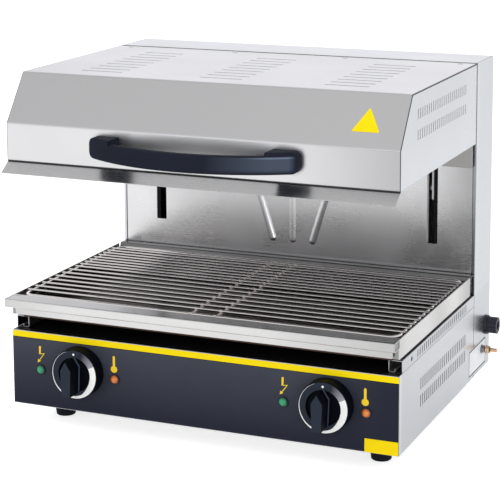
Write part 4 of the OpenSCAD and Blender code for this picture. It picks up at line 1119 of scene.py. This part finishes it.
# %% Blank plates
PLATE_T, FRAME_INK = 0.3, 0.06  # thicknesses in millimetres
CORNER_W, CORNER_H = 48.6, 19.4
CORNER_X, CORNER_Z = HALF_WIDTH - 0.4 - CORNER_W, 0.8
PLATE_W, PLATE_H = 92.0, 42.0
PLATE_Y, PLATE_Z = 345.0, 5.5
FRAME_INSET = 0.7
FRAME_W, FRAME_H = PLATE_W - 2 * FRAME_INSET, PLATE_H - 2 * FRAME_INSET
LINE_SIDE, LINE_TOP = 1.2, 2.0

plate_white = plastic("plate_white", (0.93, 0.96, 1.0), roughness=0.35, grit=800.0, bump=0.03)
plate_line = plastic("plate_line", (0.015, 0.015, 0.018), roughness=0.5, shine=0.2)
plate_yellow = plastic("plate_yellow", (1.0, 0.74, 0.0), roughness=0.4, grit=900.0, bump=0.03, shine=0.15)

print_piece(
    "corner_plate", rounded(CORNER_W, CORNER_H, 0.6), casing(CORNER_X, 0, CORNER_Z), RIGHT, UP, PLATE_T,
    plate_yellow, "base",
)
print_piece(
    "side_plate", rounded(PLATE_W, PLATE_H, 1.5), casing(HALF_WIDTH, PLATE_Y, PLATE_Z), BACK, UP, PLATE_T,
    plate_white, "base",
)
frame_hole = [
    (LINE_SIDE + a, LINE_TOP + b) for a, b in rounded(FRAME_W - 2 * LINE_SIDE, FRAME_H - 2 * LINE_TOP, 1.0)
]
frame_corner = casing(HALF_WIDTH + PLATE_T, PLATE_Y + FRAME_INSET, PLATE_Z + FRAME_INSET)
print_piece(
    "side_plate_frame", rounded(FRAME_W, FRAME_H, 1.2), frame_corner, BACK, UP, FRAME_INK,
    plate_line, "base", holes=[frame_hole],
)
print("plates:", (CORNER_W, CORNER_H), "mm in the corner and", (PLATE_W, PLATE_H), "mm on the side")

# %% [markdown]
# ## Slope triangle
# A yellow sticker sits on the slope, near its right end. It could be a mask in
# the cover's material, but a thin print keeps its own round corners and edge
# light. It lies on the slope, so its up direction is the slope's own, and its
# place follows from the slope's rise and depth.

# %% Slope triangle
CORNER_R, STICKER = 1.6, 0.15  # the triangle's corner radius and thickness
TRIANGLE_X, TRIANGLE_Z = 226.0, 443.0
SLOPE_HEIGHT = COVER_HIGH.z - SLOPE_FOOT
TRIANGLE_Y = COVER_LOW.y + (TRIANGLE_Z - SLOPE_FOOT) * SLOPE_DEPTH / SLOPE_HEIGHT
TRIANGLE_CORNERS = [(CORNER_R, CORNER_R, 210), (36.9, CORNER_R, 330), (19.25, 34.0, 90)]

slope_up = Vector((0, SLOPE_DEPTH, SLOPE_HEIGHT)).normalized()
triangle = [
    point
    for x, y, middle in TRIANGLE_CORNERS
    for point in arc(CORNER_R, middle - 60, middle + 60, 5, (x, y))
]
print_piece(
    "slope_triangle", triangle, casing(TRIANGLE_X, TRIANGLE_Y, TRIANGLE_Z), RIGHT, slope_up, STICKER,
    plate_yellow, "hood",
)
print("triangle on a slope of", round(math.degrees(math.atan2(SLOPE_HEIGHT, SLOPE_DEPTH)), 1), "degrees")

# %% [markdown]
# ## Floor
# A machine in a pale studio stands on a floor that fades into the backdrop. A
# floor lit by the lamps alone would be grey, so camera and mirror rays see some
# glow in it. That glow lights nothing else, and the floor keeps the shadow.

# %% Floor
FLOOR_SIZE = 24
FLOOR_GREY = (0.80, 0.80, 0.80, 1)
SEEN_GLOW, MIRRORED_GLOW = 0.70, 0.18
WHITE = (1, 1, 1, 1)


def ray_masks(tree):
    """Masks of the rays from the camera, and of those that mirror or glass sends on."""
    rays = add_node(tree, "ShaderNodeLightPath").outputs
    return rays["Is Camera Ray"], number(tree, "MAXIMUM", rays["Is Glossy Ray"], rays["Is Transmission Ray"])


bpy.ops.mesh.primitive_plane_add(size=FLOOR_SIZE)
floor = bpy.context.object
floor.name = "floor"
pale, tree, shader = new_material("floor_pale", Roughness=0.9, Specular_IOR_Level=0.0)
floor.data.materials.append(pale)
seen, mirrored = ray_masks(tree)
glow = number(
    tree, "ADD", number(tree, "MULTIPLY", seen, SEEN_GLOW), number(tree, "MULTIPLY", mirrored, MIRRORED_GLOW)
)
shader.inputs["Base Color"].default_value = FLOOR_GREY
shader.inputs["Emission Color"].default_value = WHITE
tree.links.new(glow, shader.inputs["Emission Strength"])
print("floor", tuple(round(v) for v in floor.dimensions), "m")

# %% [markdown]
# ## Surroundings
# Bright metal shows its surroundings more than its own colour, so they are built
# with care: pale near the horizon, as in a studio tent, and greyer overhead.
# The world gives plain light to everything. Only camera, mirror and glass rays
# see the white and the tent, so they add no light to the object.

# %% World
WORLD_LIGHT = 0.92
TENT = [(0.30, (0.90, 0.90, 0.93, 1)), (0.78, (0.59, 0.59, 0.59, 1)), (1.0, (0.50, 0.50, 0.50, 1))]

world = bpy.data.worlds.new("studio_tent")
bpy.context.scene.world = world
world.use_nodes = True
tree = world.node_tree
lit = tree.nodes["Background"]
lit.inputs["Color"].default_value = WHITE
lit.inputs["Strength"].default_value = WORLD_LIGHT
way = add_node(tree, "ShaderNodeTexCoord").outputs["Generated"]
tent = add_node(tree, "ShaderNodeValToRGB", {"Fac": axis_of(tree, way, "Z")})
tent.color_ramp.elements.new(TENT[1][0])
for stop, (height, grey) in zip(tent.color_ramp.elements, TENT):
    stop.position = height
    stop.color = grey
seen, mirrored = ray_masks(tree)
shown = add_node(tree, "ShaderNodeBackground", {"Strength": 1.0})
tree.links.new(blend(tree, seen, tent.outputs[0], WHITE[:3]), shown.inputs["Color"])
either = number(tree, "MAXIMUM", seen, mirrored)
picked = add_node(tree, "ShaderNodeMixShader", {0: either, 1: lit.outputs[0], 2: shown.outputs[0]})
tree.links.new(picked.outputs[0], tree.nodes["World Output"].inputs["Surface"])
print("world strength", WORLD_LIGHT, "and a tent in", len(tent.color_ramp.elements), "greys")

# %% [markdown]
# ## Lamps
# A large soft lamp from the upper left gives form to the mouldings, and a weak
# one from the right keeps the shaded side open. The tent makes the reflections,
# so both are hidden from mirror rays. A small low lamp ahead on the right is not:
# it draws the sheen on the handle, the lenses and the sheets' rounded edges.

# %% Studio lamps
LAMP_AIM = Vector((0, 0, 0.25))
KEY_AIM = Vector((0, 0, 0.3))


def soft_lamp(name, place, aim, size, power, in_mirrors=False):
    data = bpy.data.lights.new(name, "AREA")
    data.size = size
    data.energy = power
    lamp = bpy.data.objects.new(name, data)
    bpy.context.scene.collection.objects.link(lamp)
    lamp.location = place
    lamp.rotation_euler = (aim - Vector(place)).to_track_quat("-Z", "Y").to_euler()
    lamp.visible_glossy = in_mirrors
    return lamp


lamps = [
    soft_lamp("key_lamp", (-1.8, -2.2, 2.6), KEY_AIM, size=1.6, power=18.0),
    soft_lamp("fill_lamp", (2.4, -1.6, 1.4), LAMP_AIM, size=1.4, power=6.0),
    soft_lamp("sheen_lamp", (1.9, -2.3, 0.3), LAMP_AIM, size=0.7, power=5.0, in_mirrors=True),
]
print("lamps:", ", ".join(lamp.name for lamp in lamps))

# %% [markdown]
# ## Camera
# The view is from the front right and a little above, with a long lens that keeps
# the edges nearly parallel. A vertical shift frames the object without tilting
# the uprights further.

# %% Camera
LENS, SENSOR, SHIFT_UP = 126.5, 36.0, -0.32
CAMERA_PLACE = (0.994, -2.379, 0.896)
TURN, DIP, ROLL = (math.radians(a) for a in (22.97, 8.89, -0.28))

camera_data = bpy.data.cameras.new("view_camera")
camera_data.lens = LENS
camera_data.sensor_width = SENSOR
camera_data.shift_y = SHIFT_UP
camera = bpy.data.objects.new("view_camera", camera_data)
bpy.context.scene.collection.objects.link(camera)
camera.matrix_world = (
    Matrix.Translation(CAMERA_PLACE)
    @ Matrix.Rotation(TURN, 4, "Z")
    @ Matrix.Rotation(math.pi / 2 - DIP, 4, "X")
    @ Matrix.Rotation(ROLL, 4, "Z")
)
bpy.context.scene.camera = camera
bpy.context.scene.view_settings.view_transform = "Standard"
print("camera at", [round(v, 3) for v in camera.location])
